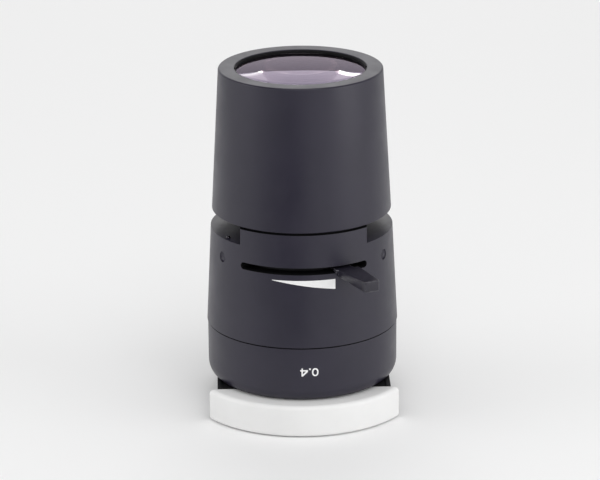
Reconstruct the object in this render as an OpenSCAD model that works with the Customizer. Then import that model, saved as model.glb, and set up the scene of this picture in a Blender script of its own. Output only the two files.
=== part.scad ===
// Condenser of an inverted microscope, standing on its slide-in plate with the front lens up.
// Millimetres. The origin is on the optical axis, in the underside of the slide plate.
// +Z runs up the optical axis and -Y is the front, where the grip and the aperture lever are.

/* [Slide plate] */
// Height of the slide plate
plate_h = 12; // [11.5:0.25:14]
// Width of the slide plate across the rails
plate_w = 62.8; // [62:0.2:66]
// Distance from the optical axis to the back edge of the slide plate
plate_back = 31; // [30:0.5:36]
// Radius of the two back corners of the slide plate
plate_corner_r = 9; // [4:0.5:12]
// Height of the rail groove in each side
rail_h = 3; // [2:0.5:4]
// Depth of the rail groove in each side
rail_depth = 2; // [1:0.25:2]
// Height of the rail groove above the underside
rail_z = 4; // [3.5:0.5:6]
// Width of the border strip on the upper edges
strip_w = 1.6; // [1:0.1:2]
// Width of the fine groove inside the border strip
strip_groove_w = 0.5; // [0.3:0.1:0.8]
// Depth of the fine groove inside the border strip
strip_groove_depth = 0.6; // [0.3:0.1:1]

/* [Light port] */
// Radius of the filter seat in the underside
filter_seat_r = 22.65; // [21.5:0.05:22.7]
// Depth of the filter seat
filter_seat_depth = 3; // [2.5:0.25:3.5]
// Radius of the ground-glass diffuser
diffuser_r = 20.4; // [19.5:0.1:20.8]
// Thickness of the ground-glass diffuser
diffuser_t = 2; // [1.5:0.1:2.5]
// Height of the ring that holds the diffuser
diffuser_ring_h = 1.5; // [1:0.1:1.5]
// Radius of the light port through the plate
port_r = 16.5; // [15:0.5:16.5]

/* [Front grip] */
// Drop of the grip's top below the top of the slide plate
grip_drop = 0.05; // [0:0.05:0.5]
// Distance of the arc's centre behind the optical axis
grip_centre_y = 1.7; // [0.5:0.1:3]
// Distance of the grip's back face in front of the optical axis
grip_back = 19.7; // [19:0.1:20.5]
// Rounding of the grip's upper edge
grip_round = 1.6; // [1:0.1:2.5]
// Rounding of the grip's lower front edge
grip_foot_round = 1.2; // [0.5:0.1:1.5]
// Width of the plate's tongue inside the grip
tongue_w = 42; // [38:0.5:43]
// Length of the plate's tongue inside the grip
tongue_l = 10.5; // [9.75:0.25:10.75]
// Thickness of the plate's tongue
tongue_t = 8; // [6:0.25:8]

/* [Base ring] */
// Step from the housing's foot in to the side of the base ring
ring_step = 0.25; // [0.05:0.05:0.75]
// Height of the base ring
ring_h = 20.75; // [20:0.25:24]
// Rounding of the lower edge of the base ring
ring_foot_round = 3.6; // [2:0.1:4]
// Height of the shadow groove under the housing
seam_h = 0.4; // [0.2:0.05:0.6]
// Depth of the shadow groove under the housing
seam_depth = 0.8; // [0.4:0.05:1.2]
// Thickness of the floor that the screws enter
ring_floor_t = 4.5; // [4:0.25:6]
// Radius of the opening in the floor
ring_floor_r = 22.5; // [20:0.25:23]

/* [Housing] */
// Outer radius of the housing at its foot
housing_foot_r = 34.75; // [31:0.05:41]
// Narrowing of the housing's radius from its foot to the passage floor
housing_taper = 1.8; // [1.35:0.05:1.95]
// Height of the housing from its foot to the passage floor
housing_h = 35.65; // [34:0.25:42]
// Thickness of the housing's wall at its foot
housing_wall = 5.7; // [5.4:0.05:5.9]
// Thickness of the wall of the spigot that enters the base ring
spigot_wall = 1.95; // [1.75:0.05:2.35]
// Length of the spigot
spigot_l = 7.4; // [6:0.2:8]
// Thickness of the floor of the slider passage
web_t = 1.6; // [1.4:0.1:2]
// Width of the floor of the slider passage inside the housing's bore
web_w = 8.55; // [8.55:0.05:11]

/* [Slider passage] */
// Height of the slider passage
passage_h = 6.47; // [6:0.01:8]
// Distance of the passage's sides inside the housing's radius
passage_inset = 11.95; // [11.75:0.05:12.15]
// Distance of the ends of the two walls that carry the barrel inside the housing's radius
wall_end_inset = 10.45; // [9.95:0.05:11.95]
// Height of the shadow gap between the walls and the barrel
shadow_gap = 0.67; // [0.3:0.01:1]
// Depth of the shadow gap
shadow_gap_depth = 1.6; // [1:0.1:2]

/* [Barrel] */
// Height of the barrel
barrel_h = 52.13; // [50:0.01:60]
// Step from the top of the housing in to the foot of the barrel
barrel_step = 0.53; // [0.15:0.01:0.95]
// Narrowing of the barrel's radius from its foot to its top
barrel_taper = 2.92; // [1.42:0.01:3.92]
// Rounding of the barrel's outer top edge
barrel_round = 0.7; // [0.3:0.05:1.2]
// Chamfer of the barrel's foot
barrel_foot_chamfer = 0.4; // [0.2:0.05:0.8]
// Width of the barrel's rim round the lenses
barrel_rim_w = 5.8; // [4.8:0.05:6.4]
// Thickness of the flange under the rear lens
flange_t = 3.13; // [2.5:0.01:4]
// Width of the flange inside the bore that holds the lenses
flange_w = 3.9; // [3.4:0.05:6.4]

/* [Lenses] */
// Gap between the two lenses and their bore
lens_play = 0.1; // [0.04:0.02:0.3]
// Edge thickness of the front lens
front_edge_t = 3; // [2.5:0.1:3.5]
// Radius of curvature of the front lens's outer face
front_outer_curve = 300; // [200:10:600]
// Radius of curvature of the front lens's inner face
front_inner_curve = 40; // [36:1:60]
// Width of the front lens's flat edge on its outer face
front_edge_w = 0.8; // [0.7:0.1:1.8]
// Width of both lenses' flat edge inside the spacer tube
inner_edge_w = 1.7; // [1.7:0.1:3.3]
// Edge thickness of the rear lens
rear_edge_t = 2.5; // [2:0.1:3.5]
// Radius of curvature of the rear lens
rear_curve = 42; // [36:1:60]
// Depth of the front ring below the barrel's top
rim_depth = 0.3; // [0.2:0.05:1.5]
// Height of the ring that holds the front lens
front_ring_h = 1; // [0.8:0.1:2]
// Width of the ring that holds the front lens
front_ring_w = 0.5; // [0.35:0.05:0.8]
// Radius of the collector lens
collector_r = 25; // [24.5:0.1:25.2]
// Edge thickness of the collector lens
collector_edge_t = 2.5; // [2:0.1:3]
// Radius of curvature of the collector lens
collector_curve = 45; // [40:1:70]
// Clear radius of the collector lens
collector_clear_r = 23.5; // [22:0.1:23.5]
// Height of the ring that holds the collector lens
collector_ring_h = 2.5; // [1.5:0.1:3]

/* [Iris] */
// Distance of the circle of blade pivots inside the cage
pivot_inset = 1.9; // [1.9:0.05:2]
// Distance of a blade's inner edge inside the circle of pivots
blade_in_w = 5.8; // [5.6:0.05:5.9]
// Distance of a blade's outer edge outside the circle of pivots
blade_out_w = 1.6; // [1.4:0.05:1.65]
// Radius of a blade's round ends
blade_end_r = 1.5; // [1.3:0.1:1.5]
// Thickness of a blade
blade_t = 0.08; // [0.06:0.01:0.08]
// Radius of the two pins of a blade
blade_pin_r = 0.5; // [0.4:0.05:0.5]
// Distance of the widest aperture's edge inside the open blades
aperture_step = 2.8; // [2.3:0.1:4.8]
// Thickness of the iris cage's wall
cage_wall = 1.45; // [1.4:0.01:1.5]
// Height of the iris cage's wall below the closing ring
cage_lip = 0.48; // [0.3:0.02:1.6]
// Thickness of the iris cage's top
cage_top_t = 0.9; // [0.8:0.05:1]
// Thickness of the drive ring
drive_ring_t = 2; // [1.8:0.1:2]
// Width of the drive ring
drive_ring_w = 6.82; // [6.62:0.05:7.4]
// Thickness of the friction ring
friction_t = 0.86; // [0.6:0.02:0.9]
// Thickness of the ring that closes the cage
closing_ring_t = 1; // [0.7:0.05:1]

/* [Aperture lever] */
// Direction of the lever at rest, in degrees from the front towards +X
lever_rest = 25.3; // [0:0.1:34]
// Furthest direction of the lever to either side, in degrees
lever_limit = 35; // [30:0.5:35]
// End of the lever slot to either side, in degrees from the front
slot_end = 42.3; // [42:0.1:44]
// Height of the lever slot
slot_h = 2.57; // [2.4:0.01:2.8]
// Thickness of the lever's neck
neck_t = 1.9; // [1.7:0.05:2]
// Half the width of the neck in the cage
neck_in_half = 2.9; // [2.4:0.1:3]
// Half the width of the neck at the handle
neck_out_half = 3.75; // [3:0.05:3.8]
// Half the width of the handle at its root
handle_root_half = 4; // [3.8:0.1:4.2]
// Half the width of the handle at its end
handle_end_half = 2.1; // [1.8:0.1:3]
// Length of the handle outside the housing's upper radius
handle_l = 20.95; // [15:0.05:27]
// Height of the handle
handle_h = 3.5; // [2.6:0.1:4]
// Bevel along the handle's outer end
handle_bevel = 0.5; // [0.3:0.05:0.8]

/* [Opening mark] */
// Direction of the mark's thin end, in degrees from the front
mark_thin_end = -20.1; // [-24:0.1:-12]
// Direction of the mark's wide end, in degrees from the front
mark_wide_end = 19.1; // [12:0.1:24]
// Height of the mark at its wide end
mark_h = 3.68; // [2.5:0.01:4.5]
// Height of the mark at its thin end
mark_tip_h = 0.15; // [0.1:0.01:0.3]
// Distance of the mark's upper edge below the middle of the lever slot
mark_drop = 3.3; // [2.6:0.05:4]
// Depth of the filled recess
mark_depth = 0.15; // [0.1:0.01:0.25]

/* [Detent] */
// Distance of the detent ball outside the housing's bore
detent_out = 1.75; // [1.65:0.05:1.8]
// Direction of the detent ball, in degrees from the front
detent_angle = -60; // [-64:1:-56]
// Radius of the detent ball
ball_r = 0.9; // [0.8:0.02:0.92]
// Height by which the ball stands out of the passage floor
ball_rise = 0.55; // [0.45:0.01:0.6]
// Outer radius of the detent's sleeve
sleeve_r = 1.25; // [1.2:0.01:1.3]
// Height of the detent's sleeve
sleeve_h = 4; // [3.8:0.1:4.2]

/* [Fasteners] */
// Radius of the thread of the grip screws and base screws
screw_r = 1.5; // [1.25:0.05:1.5]
// Radius of the head of the grip screws and base screws
screw_head_r = 2.75; // [2.4:0.05:2.75]
// Height of the head of the grip screws and base screws
screw_head_h = 2.4; // [2:0.1:2.6]
// Radius of the thread of the barrel screws
barrel_screw_r = 1.25; // [1:0.05:1.25]
// Radius of the head of the barrel screws
barrel_screw_head_r = 2.25; // [1.9:0.05:2.25]
// Height of the head of the barrel screws
barrel_screw_head_h = 2.5; // [2:0.1:2.5]
// Radius of the set screws that hold the iris cage
set_screw_r = 2; // [1.5:0.05:2.1]
// Depth at which the set screws are sunk
set_screw_sunk = 0.6; // [0.3:0.05:0.9]
// Radius of the lever screws
lever_screw_r = 0.8; // [0.6:0.05:0.8]
// Radius of the head of the lever screws
lever_screw_head_r = 1.3; // [1.1:0.05:1.4]

/* [Hidden] */
$fn = 96;
overrun = 1;
fit_gap = 0.05;
thread_gap = 0.02;
slide_gap = 0.08;
drill_gap = 0.1;
head_gap = 0.15;

// Heights of the seams, from the underside up
ring_z = plate_h;
housing_z = ring_z + ring_h;
floor_z = housing_z + housing_h;
barrel_z = floor_z + passage_h;
top_z = barrel_z + barrel_h;

// Radii that follow from the housing's foot
housing_top_r = housing_foot_r - housing_taper;
housing_bore_r = housing_foot_r - housing_wall;
spigot_r = housing_bore_r + spigot_wall;
ring_r = housing_foot_r - ring_step;
web_bore_r = housing_bore_r - web_w;
passage_w = 2 * (housing_top_r - passage_inset);
wall_w = 2 * (housing_top_r - wall_end_inset);
cage_r = housing_bore_r - drill_gap;
cage_bore_r = cage_r - cage_wall;
pivot_r = cage_bore_r - pivot_inset;
blade_in_r = pivot_r - blade_in_w;
blade_out_r = pivot_r + blade_out_w;
aperture_r = blade_in_r - aperture_step;
detent_radius = housing_bore_r + detent_out;
handle_reach = housing_top_r + handle_l;
barrel_foot_r = housing_top_r - barrel_step;
barrel_top_r = barrel_foot_r - barrel_taper;
lens_bore_r = barrel_top_r - barrel_rim_w;
flange_bore_r = lens_bore_r - flange_w;
lens_r = lens_bore_r - lens_play;
front_clear_r = lens_r - front_edge_w;
inner_clear_r = lens_r - inner_edge_w;
front_ring_bore_r = lens_bore_r - front_ring_w;
grip_r = norm([ring_r, grip_back + grip_centre_y]);

// Slide plate and grip
plate_front = grip_back;
grip_h = plate_h - grip_drop;
grip_screw_x = 15;
grip_screw_inset = 6.5;
grip_screw_depth = 2.6;
base_screw_x = 24;
base_screw_y = 12;
base_screw_grip = 4;
screw_sunk = 1;
seat_play = 0.3;
diffuser_z = filter_seat_depth + seat_play + diffuser_ring_h;
port_z = diffuser_z + diffuser_t;
spanner_w = 1.6;
spanner_depth = 0.8;
diffuser_ring_wall = 1.7;

// Base ring and collector
collector_z = ring_z + ring_floor_t;
collector_ring_z = collector_z + collector_edge_t;
spigot_end_gap = 0.8;
collector_bore_top = housing_z - spigot_l - spigot_end_gap;

// Iris, counted down from the passage floor
blades = 8;
web_z = floor_z - web_t;
cage_under_z = web_z - cage_top_t;
blade_slope = 0.065;
tilt = atan(blade_slope);
tilt_direction = 17;
blade_span = 140;
blade_gear = 0.5;
blade_room = 0.05;
blade_z = cage_under_z - blade_room - blade_slope * blade_end_r - blade_t / 2;
blade_chord = 2 * pivot_r * sin(blade_span / 2);
blade_drop = blade_slope * (blade_chord + blade_end_r);
drive_top_z = blade_z - blade_drop - blade_t - blade_room;
drive_z = drive_top_z - drive_ring_t;
drive_r = cage_bore_r - slide_gap;
drive_bore_r = drive_r - drive_ring_w;
friction_top_z = drive_z - thread_gap;
friction_z = friction_top_z - friction_t;
friction_wall = 4;
closing_ring_z = friction_z - closing_ring_t;
cage_z = closing_ring_z - cage_lip;
cage_h = web_z - cage_z;
closing_ring_wall = 6;
pivot_pin_reach = 0.7;
drive_pin_reach = 1.2;
slot_play = 0.55;
groove_depth = 0.6;
window_margin = 3;
window_gap = 0.6;

// Blade angle at rest, and the azimuths of the pivots that keep the ring's slots off the lever
blade_rest = blade_gear * (lever_limit - lever_rest);
lever_az = -90 + lever_rest;
blade_step = 360 / blades;
pivot_az = lever_az + blade_step / 2 + blade_span + (lever_limit - lever_rest);

// Lever
slot_mid_share = 0.667;
slot_mid_z = drive_top_z - slot_mid_share * drive_ring_t;
neck_z = slot_mid_z - neck_t / 2;
neck_gap = 0.2;
neck_in = cage_bore_r + neck_gap;
handle_z = neck_z + neck_t - handle_h;
handle_gap = 0.5;
handle_in = housing_r_at(handle_z) + handle_gap;
tab_l = 4.6;
tab_t = 0.95;
tab_half = 2.8;
tab_screw_half = 1.5;
tab_screw_inset = 2.4;
lever_screw_head_h = 0.5;
lever_screw_l = 1.3;

// Housing details
wall_inset = 0.9;
barrel_screw_x = 10;
barrel_screw_inset = 4.85;
barrel_screw_y = housing_bore_r - barrel_screw_inset;
barrel_screw_sunk = 0.5;
barrel_screw_grip = 6.2;
set_screw_rise = 0.55;
set_screw_angles = [-60, 60, 180];
set_screw_z = slot_mid_z + set_screw_rise;
set_screw_socket_r = 1.15;
set_screw_socket_depth = 1.4;

// Lens stack in the barrel
rear_z = barrel_z + flange_t;
spacer_z = rear_z + rear_edge_t;
front_z = top_z - rim_depth - front_ring_h - front_edge_t;
front_ring_z = front_z + front_edge_t;
spacer_wall = 1.05;
baffle_grooves = 10;
baffle_groove_w = 1.6;
baffle_groove_depth = 0.4;
rim_chamfer = 0.25;
ring_bevel = 0.3;

// Detent
sleeve_floor = 0.5;
ball_z = floor_z + ball_rise - ball_r;
spring_wire_r = 0.12;
spring_turns = 4;
spring_steps = 16;

function housing_r_at(z) = housing_foot_r + (housing_top_r - housing_foot_r) * (z - housing_z) / housing_h;

// Flat ring between two heights
module ring(z0, z1, r_in, r_out) {
    difference() {
        translate([0, 0, z0]) cylinder(h = z1 - z0, r = r_out);
        translate([0, 0, z0 - overrun]) cylinder(h = z1 - z0 + 2 * overrun, r = r_in);
    }
}

// Two notches across a ring, for a pin spanner
module spanner_notches(z, depth, r_out) {
    translate([-r_out, -spanner_w / 2, z]) cube([2 * r_out, spanner_w, depth]);
}

// Places its children at the four corners of a rectangle
module four(x, y) {
    for (sx = [-1, 1])
        for (sy = [-1, 1])
            translate([sx * x, sy * y, 0]) children();
}

// Places its children to the left and to the right
module pair(x, y) {
    for (sx = [-1, 1])
        translate([sx * x, y, 0]) children();
}

// Screw with a round socket head, standing head down on z
module cap_screw(z, r, head_r, head_h, length) {
    socket_share = 0.5;
    difference() {
        union() {
            translate([0, 0, z]) cylinder(h = head_h, r = head_r);
            translate([0, 0, z + head_h]) cylinder(h = length, r = r);
        }
        translate([0, 0, z - head_h * socket_share])
            cylinder(h = head_h, r = head_r * socket_share, $fn = 6);
    }
}

// Lens cap: the part of a sphere above a flat of radius clear_r
module lens_cap(z, clear_r, curve) {
    rise = curve - sqrt(curve * curve - clear_r * clear_r);
    intersection() {
        translate([0, 0, z + rise - curve]) sphere(r = curve, $fn = 192);
        translate([0, 0, z - fit_gap]) cylinder(h = rise + overrun, r = clear_r);
    }
}

module plate_outline() {
    back_x = plate_w / 2 - plate_corner_r;
    back_y = plate_back - plate_corner_r;
    translate([-plate_w / 2, -plate_front]) square([plate_w, plate_front + back_y]);
    translate([-back_x, back_y - overrun]) square([2 * back_x, plate_corner_r + overrun]);
    for (sx = [-1, 1])
        translate([sx * back_x, back_y]) circle(r = plate_corner_r);
}

module slide_plate() {
    long_cut = plate_front + plate_back + 2 * overrun;
    strip_x = plate_w / 2 - strip_w - strip_groove_w;
    color([0.07, 0.07, 0.08]) difference() {
        union() {
            linear_extrude(plate_h) plate_outline();
            translate([-tongue_w / 2, -plate_front - tongue_l, 0])
                cube([tongue_w, tongue_l + overrun, tongue_t]);
        }
        translate([0, 0, -overrun]) cylinder(h = filter_seat_depth + overrun, r = filter_seat_r);
        cylinder(h = port_z, r = diffuser_r + drill_gap);
        cylinder(h = plate_h + overrun, r = port_r);
        for (sx = [-1, 1]) {
            translate([sx * plate_w / 2 - rail_depth, -plate_front - overrun, rail_z])
                cube([2 * rail_depth, long_cut, rail_h]);
            translate([sx > 0 ? strip_x : -strip_x - strip_groove_w, -plate_front - overrun, plate_h - strip_groove_depth])
                cube([strip_groove_w, long_cut, strip_groove_depth + overrun]);
        }
        four(base_screw_x, base_screw_y) {
            translate([0, 0, -overrun])
                cylinder(h = overrun + screw_sunk + screw_head_h, r = screw_head_r + head_gap);
            cylinder(h = plate_h + overrun, r = screw_r + drill_gap);
        }
        pair(grip_screw_x, -plate_front - grip_screw_inset) {
            translate([0, 0, -overrun])
                cylinder(h = overrun + screw_sunk + screw_head_h, r = screw_head_r + head_gap);
            cylinder(h = tongue_t + overrun, r = screw_r + drill_gap);
        }
    }
}

// Solid of revolution of the grip's front arc, rounded above and below
module grip_body() {
    rotate_extrude() {
        square([grip_r - grip_round, grip_h]);
        translate([0, grip_foot_round]) square([grip_r, grip_h - grip_round - grip_foot_round]);
        translate([grip_r - grip_round, grip_h - grip_round]) circle(r = grip_round);
        translate([grip_r - grip_foot_round, grip_foot_round]) circle(r = grip_foot_round);
    }
}

module front_grip() {
    color([0.92, 0.92, 0.92]) difference() {
        intersection() {
            translate([0, grip_centre_y, 0]) grip_body();
            translate([-grip_r, -2 * grip_r - grip_back, -overrun])
                cube([2 * grip_r, 2 * grip_r, grip_h + 2 * overrun]);
        }
        translate([-tongue_w / 2 - head_gap, -grip_back - tongue_l - head_gap, -overrun])
            cube([tongue_w + 2 * head_gap, tongue_l + head_gap + overrun, tongue_t + fit_gap + overrun]);
        pair(grip_screw_x, -plate_front - grip_screw_inset)
            cylinder(h = tongue_t + grip_screw_depth + head_gap, r = screw_r + thread_gap);
    }
}

module grip_screws() {
    color([0.35, 0.35, 0.37])
        pair(grip_screw_x, -plate_front - grip_screw_inset)
            cap_screw(screw_sunk, screw_r, screw_head_r, screw_head_h,
                      tongue_t - screw_sunk - screw_head_h + grip_screw_depth);
}

module base_screws() {
    color([0.35, 0.35, 0.37])
        four(base_screw_x, base_screw_y)
            cap_screw(screw_sunk, screw_r, screw_head_r, screw_head_h,
                      plate_h - screw_sunk - screw_head_h + base_screw_grip);
}

module diffuser() {
    color([0.9, 0.95, 0.95, 0.6])
        translate([0, 0, diffuser_z]) cylinder(h = diffuser_t, r = diffuser_r);
}

module diffuser_ring() {
    z0 = diffuser_z - diffuser_ring_h;
    color([0.1, 0.1, 0.11]) difference() {
        ring(z0, diffuser_z, diffuser_r - diffuser_ring_wall, diffuser_r + drill_gap - thread_gap);
        spanner_notches(z0 - overrun, overrun + spanner_depth, diffuser_r + overrun);
    }
}

module base_ring() {
    color([0.1, 0.1, 0.11]) difference() {
        rotate_extrude() {
            translate([0, ring_z]) square([ring_r - ring_foot_round, ring_h]);
            translate([0, ring_z + ring_foot_round]) square([ring_r, ring_h - ring_foot_round - seam_h]);
            translate([0, ring_z + ring_foot_round]) square([ring_r - seam_depth, ring_h - ring_foot_round]);
            translate([ring_r - ring_foot_round, ring_z + ring_foot_round]) circle(r = ring_foot_round);
        }
        cylinder(h = housing_z, r = ring_floor_r);
        translate([0, 0, collector_z]) cylinder(h = ring_h, r = collector_r + drill_gap);
        translate([0, 0, collector_bore_top]) cylinder(h = ring_h, r = spigot_r + thread_gap);
        four(base_screw_x, base_screw_y)
            cylinder(h = plate_h + base_screw_grip + head_gap, r = screw_r + thread_gap);
    }
}

module collector_lens() {
    color([0.8, 0.85, 0.9, 0.5]) {
        translate([0, 0, collector_z]) cylinder(h = collector_edge_t, r = collector_r);
        lens_cap(collector_ring_z, collector_clear_r, collector_curve);
    }
}

module collector_ring() {
    top = collector_ring_z + collector_ring_h;
    color([0.1, 0.1, 0.11]) difference() {
        ring(collector_ring_z, top, collector_clear_r + drill_gap, collector_r + drill_gap - thread_gap);
        spanner_notches(top - spanner_depth, spanner_depth + overrun, collector_r + overrun);
    }
}

// Tapered outer body with the slider passage cut across it, which leaves the two walls standing
module housing_body() {
    wall_top = barrel_z - shadow_gap;
    cut_h = wall_top - floor_z + overrun;
    difference() {
        translate([0, 0, housing_z])
            cylinder(h = wall_top - housing_z, r1 = housing_foot_r, r2 = housing_r_at(wall_top));
        translate([-housing_foot_r, -passage_w / 2, floor_z])
            cube([2 * housing_foot_r, passage_w, cut_h]);
        for (x = [-housing_foot_r - wall_w / 2, wall_w / 2])
            translate([x, -housing_foot_r, floor_z])
                cube([housing_foot_r, 2 * housing_foot_r, cut_h]);
    }
}

// Steps on top of the two walls, which the barrel stands on
module wall_steps() {
    wall_top = barrel_z - shadow_gap;
    half_w = wall_w / 2 - wall_inset;
    intersection() {
        translate([0, 0, wall_top - overrun])
            cylinder(h = shadow_gap + overrun, r = housing_r_at(wall_top) - shadow_gap_depth);
        for (y = [-housing_foot_r, passage_w / 2])
            translate([-half_w, y, wall_top - overrun])
                cube([2 * half_w, housing_foot_r - passage_w / 2, shadow_gap + overrun]);
    }
}

// Curved slot through the housing, between its two round ends
module lever_slot() {
    half = slot_h / 2;
    end_r = half + thread_gap;
    cut = housing_foot_r - housing_bore_r + 2 * overrun;
    middle = slot_end - asin(end_r / housing_top_r);
    rotate([0, 0, -90 - middle])
        rotate_extrude(angle = 2 * middle)
            translate([housing_bore_r - overrun, slot_mid_z - half]) square([cut, slot_h]);
    for (side = [-1, 1])
        rotate([0, 0, -90 + side * middle])
            translate([housing_bore_r - overrun, 0, slot_mid_z])
                rotate([0, 90, 0]) cylinder(h = cut, r = end_r);
}

// Wedge of the opening mark as a prism that runs towards the front
module mark_prism() {
    face_r = housing_r_at(slot_mid_z - mark_drop);
    x0 = face_r * sin(mark_thin_end);
    x1 = face_r * sin(mark_wide_end);
    mark_top = slot_mid_z - mark_drop;
    translate([0, -housing_foot_r / 2, 0])
        rotate([90, 0, 0])
            linear_extrude(housing_foot_r)
                polygon([[x0, mark_top], [x0, mark_top - mark_tip_h], [x1, mark_top - mark_h], [x1, mark_top]]);
}

// Cone that follows the housing's outer face at a given depth
module housing_cone(depth) {
    translate([0, 0, housing_z])
        cylinder(h = housing_h, r1 = housing_foot_r - depth, r2 = housing_top_r - depth);
}

module opening_mark() {
    color([0.95, 0.95, 0.95]) intersection() {
        mark_prism();
        difference() {
            housing_cone(0);
            housing_cone(mark_depth);
        }
    }
}

module at_set_screws() {
    for (a = set_screw_angles)
        rotate([0, 0, -90 + a]) translate([0, 0, set_screw_z]) rotate([0, 90, 0]) children();
}

module at_detent() {
    rotate([0, 0, -90 + detent_angle]) translate([detent_radius, 0, 0]) children();
}

module housing() {
    color([0.09, 0.09, 0.1]) difference() {
        union() {
            housing_body();
            wall_steps();
            translate([0, 0, housing_z - spigot_l]) cylinder(h = spigot_l + overrun, r = spigot_r);
        }
        translate([0, 0, housing_z - spigot_l - overrun])
            cylinder(h = web_z - housing_z + spigot_l + overrun, r = housing_bore_r);
        translate([0, 0, housing_z]) cylinder(h = housing_h + overrun, r = web_bore_r);
        lever_slot();
        intersection() {
            mark_prism();
            difference() {
                housing_cone(-overrun);
                housing_cone(mark_depth);
            }
        }
        at_set_screws() cylinder(h = housing_foot_r + overrun, r = set_screw_r + thread_gap);
        at_detent() translate([0, 0, floor_z - sleeve_h]) cylinder(h = sleeve_h + overrun, r = sleeve_r + thread_gap);
        four(barrel_screw_x, barrel_screw_y) {
            translate([0, 0, web_z - overrun])
                cylinder(h = overrun + barrel_screw_sunk + barrel_screw_head_h, r = barrel_screw_head_r + head_gap);
            translate([0, 0, web_z]) cylinder(h = barrel_z - web_z + overrun, r = barrel_screw_r + drill_gap);
        }
    }
}

module housing_set_screws() {
    tip = cage_r - groove_depth + drill_gap;
    outer = housing_r_at(set_screw_z) - set_screw_sunk;
    point_h = set_screw_r - fit_gap;
    color([0.3, 0.3, 0.32])
        at_set_screws() difference() {
            translate([0, 0, tip]) {
                cylinder(h = point_h, r1 = fit_gap, r2 = set_screw_r);
                translate([0, 0, point_h]) cylinder(h = outer - tip - point_h, r = set_screw_r);
            }
            translate([0, 0, outer - set_screw_socket_depth])
                cylinder(h = set_screw_socket_depth + overrun, r = set_screw_socket_r, $fn = 6);
        }
}

module iris_cage() {
    window_end = slot_end + window_margin;
    color([0.62, 0.6, 0.55]) difference() {
        translate([0, 0, cage_z]) cylinder(h = cage_h, r = cage_r);
        translate([0, 0, cage_z - overrun]) cylinder(h = cage_h - cage_top_t + overrun, r = cage_bore_r);
        translate([0, 0, cage_z]) cylinder(h = cage_h + overrun, r = aperture_r);
        for (i = [0 : blades - 1])
            rotate([0, 0, pivot_az + i * blade_step])
                translate([pivot_r, 0, cage_under_z - overrun])
                    cylinder(h = overrun + pivot_pin_reach + drill_gap, r = blade_pin_r + slide_gap);
        rotate([0, 0, -90 - window_end])
            rotate_extrude(angle = 2 * window_end)
                translate([cage_bore_r - overrun, slot_mid_z - slot_h / 2 - window_gap])
                    square([cage_r - cage_bore_r + 2 * overrun, slot_h + 2 * window_gap]);
        rotate_extrude()
            translate([cage_r, set_screw_z])
                polygon([[fit_gap, -groove_depth - fit_gap], [-groove_depth, 0], [fit_gap, groove_depth + fit_gap]]);
    }
}

// One blade at its rest angle: a thin tilted arc with a pin up at the pivot and a pin down at the other end
module iris_blade(index) {
    far_x = pivot_r * cos(blade_span);
    far_y = -pivot_r * sin(blade_span);
    far_z = blade_z + blade_slope * (cos(tilt_direction) * (far_x - pivot_r) + sin(tilt_direction) * far_y);
    rotate([0, 0, pivot_az + index * blade_step])
        translate([pivot_r, 0, 0]) rotate([0, 0, -blade_rest]) translate([-pivot_r, 0, 0]) {
            translate([pivot_r, 0, blade_z])
                rotate([0, 0, tilt_direction]) rotate([0, -tilt, 0]) rotate([0, 0, -tilt_direction])
                    translate([-pivot_r, 0, -blade_t / 2]) {
                        rotate([0, 0, -blade_span])
                            rotate_extrude(angle = blade_span)
                                translate([blade_in_r, 0]) square([blade_out_r - blade_in_r, blade_t]);
                        translate([pivot_r, 0, 0]) cylinder(h = blade_t, r = blade_end_r);
                        translate([far_x, far_y, 0]) cylinder(h = blade_t, r = blade_end_r);
                    }
            translate([pivot_r, 0, blade_z])
                cylinder(h = cage_under_z + pivot_pin_reach - blade_z, r = blade_pin_r);
            translate([far_x, far_y, drive_top_z - drive_pin_reach])
                cylinder(h = far_z - drive_top_z + drive_pin_reach, r = blade_pin_r);
        }
}

module iris_drive_ring() {
    slot_half = blade_pin_r + slot_play;
    slot_in = blade_chord - pivot_r;
    color([0.72, 0.6, 0.3]) difference() {
        ring(drive_z, drive_top_z, drive_bore_r, drive_r);
        for (i = [0 : blades - 1])
            rotate([0, 0, lever_az + (i + 0.5) * blade_step]) translate([0, 0, drive_z - overrun]) {
                translate([slot_in, -slot_half, 0])
                    cube([pivot_r - slot_in, 2 * slot_half, drive_ring_t + 2 * overrun]);
                for (x = [slot_in, pivot_r])
                    translate([x, 0, 0]) cylinder(h = drive_ring_t + 2 * overrun, r = slot_half);
            }
        rotate([0, 0, lever_az]) {
            translate([cage_bore_r - tab_l - fit_gap, -tab_half - fit_gap, drive_z - overrun])
                cube([tab_l + overrun, 2 * (tab_half + fit_gap), overrun + tab_t + fit_gap]);
            for (y = [-tab_screw_half, tab_screw_half])
                translate([cage_bore_r - tab_screw_inset, y, drive_z])
                    cylinder(h = lever_screw_head_h + lever_screw_l - fit_gap, r = lever_screw_r + thread_gap);
        }
    }
}

module friction_ring() {
    color([0.85, 0.84, 0.8])
        ring(friction_z, friction_top_z, drive_r - friction_wall, drive_r);
}

module iris_closing_ring() {
    color([0.1, 0.1, 0.11]) difference() {
        ring(closing_ring_z, friction_z, cage_bore_r - closing_ring_wall, cage_bore_r - thread_gap);
        spanner_notches(closing_ring_z - overrun, overrun + spanner_depth, cage_r);
    }
}

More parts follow.
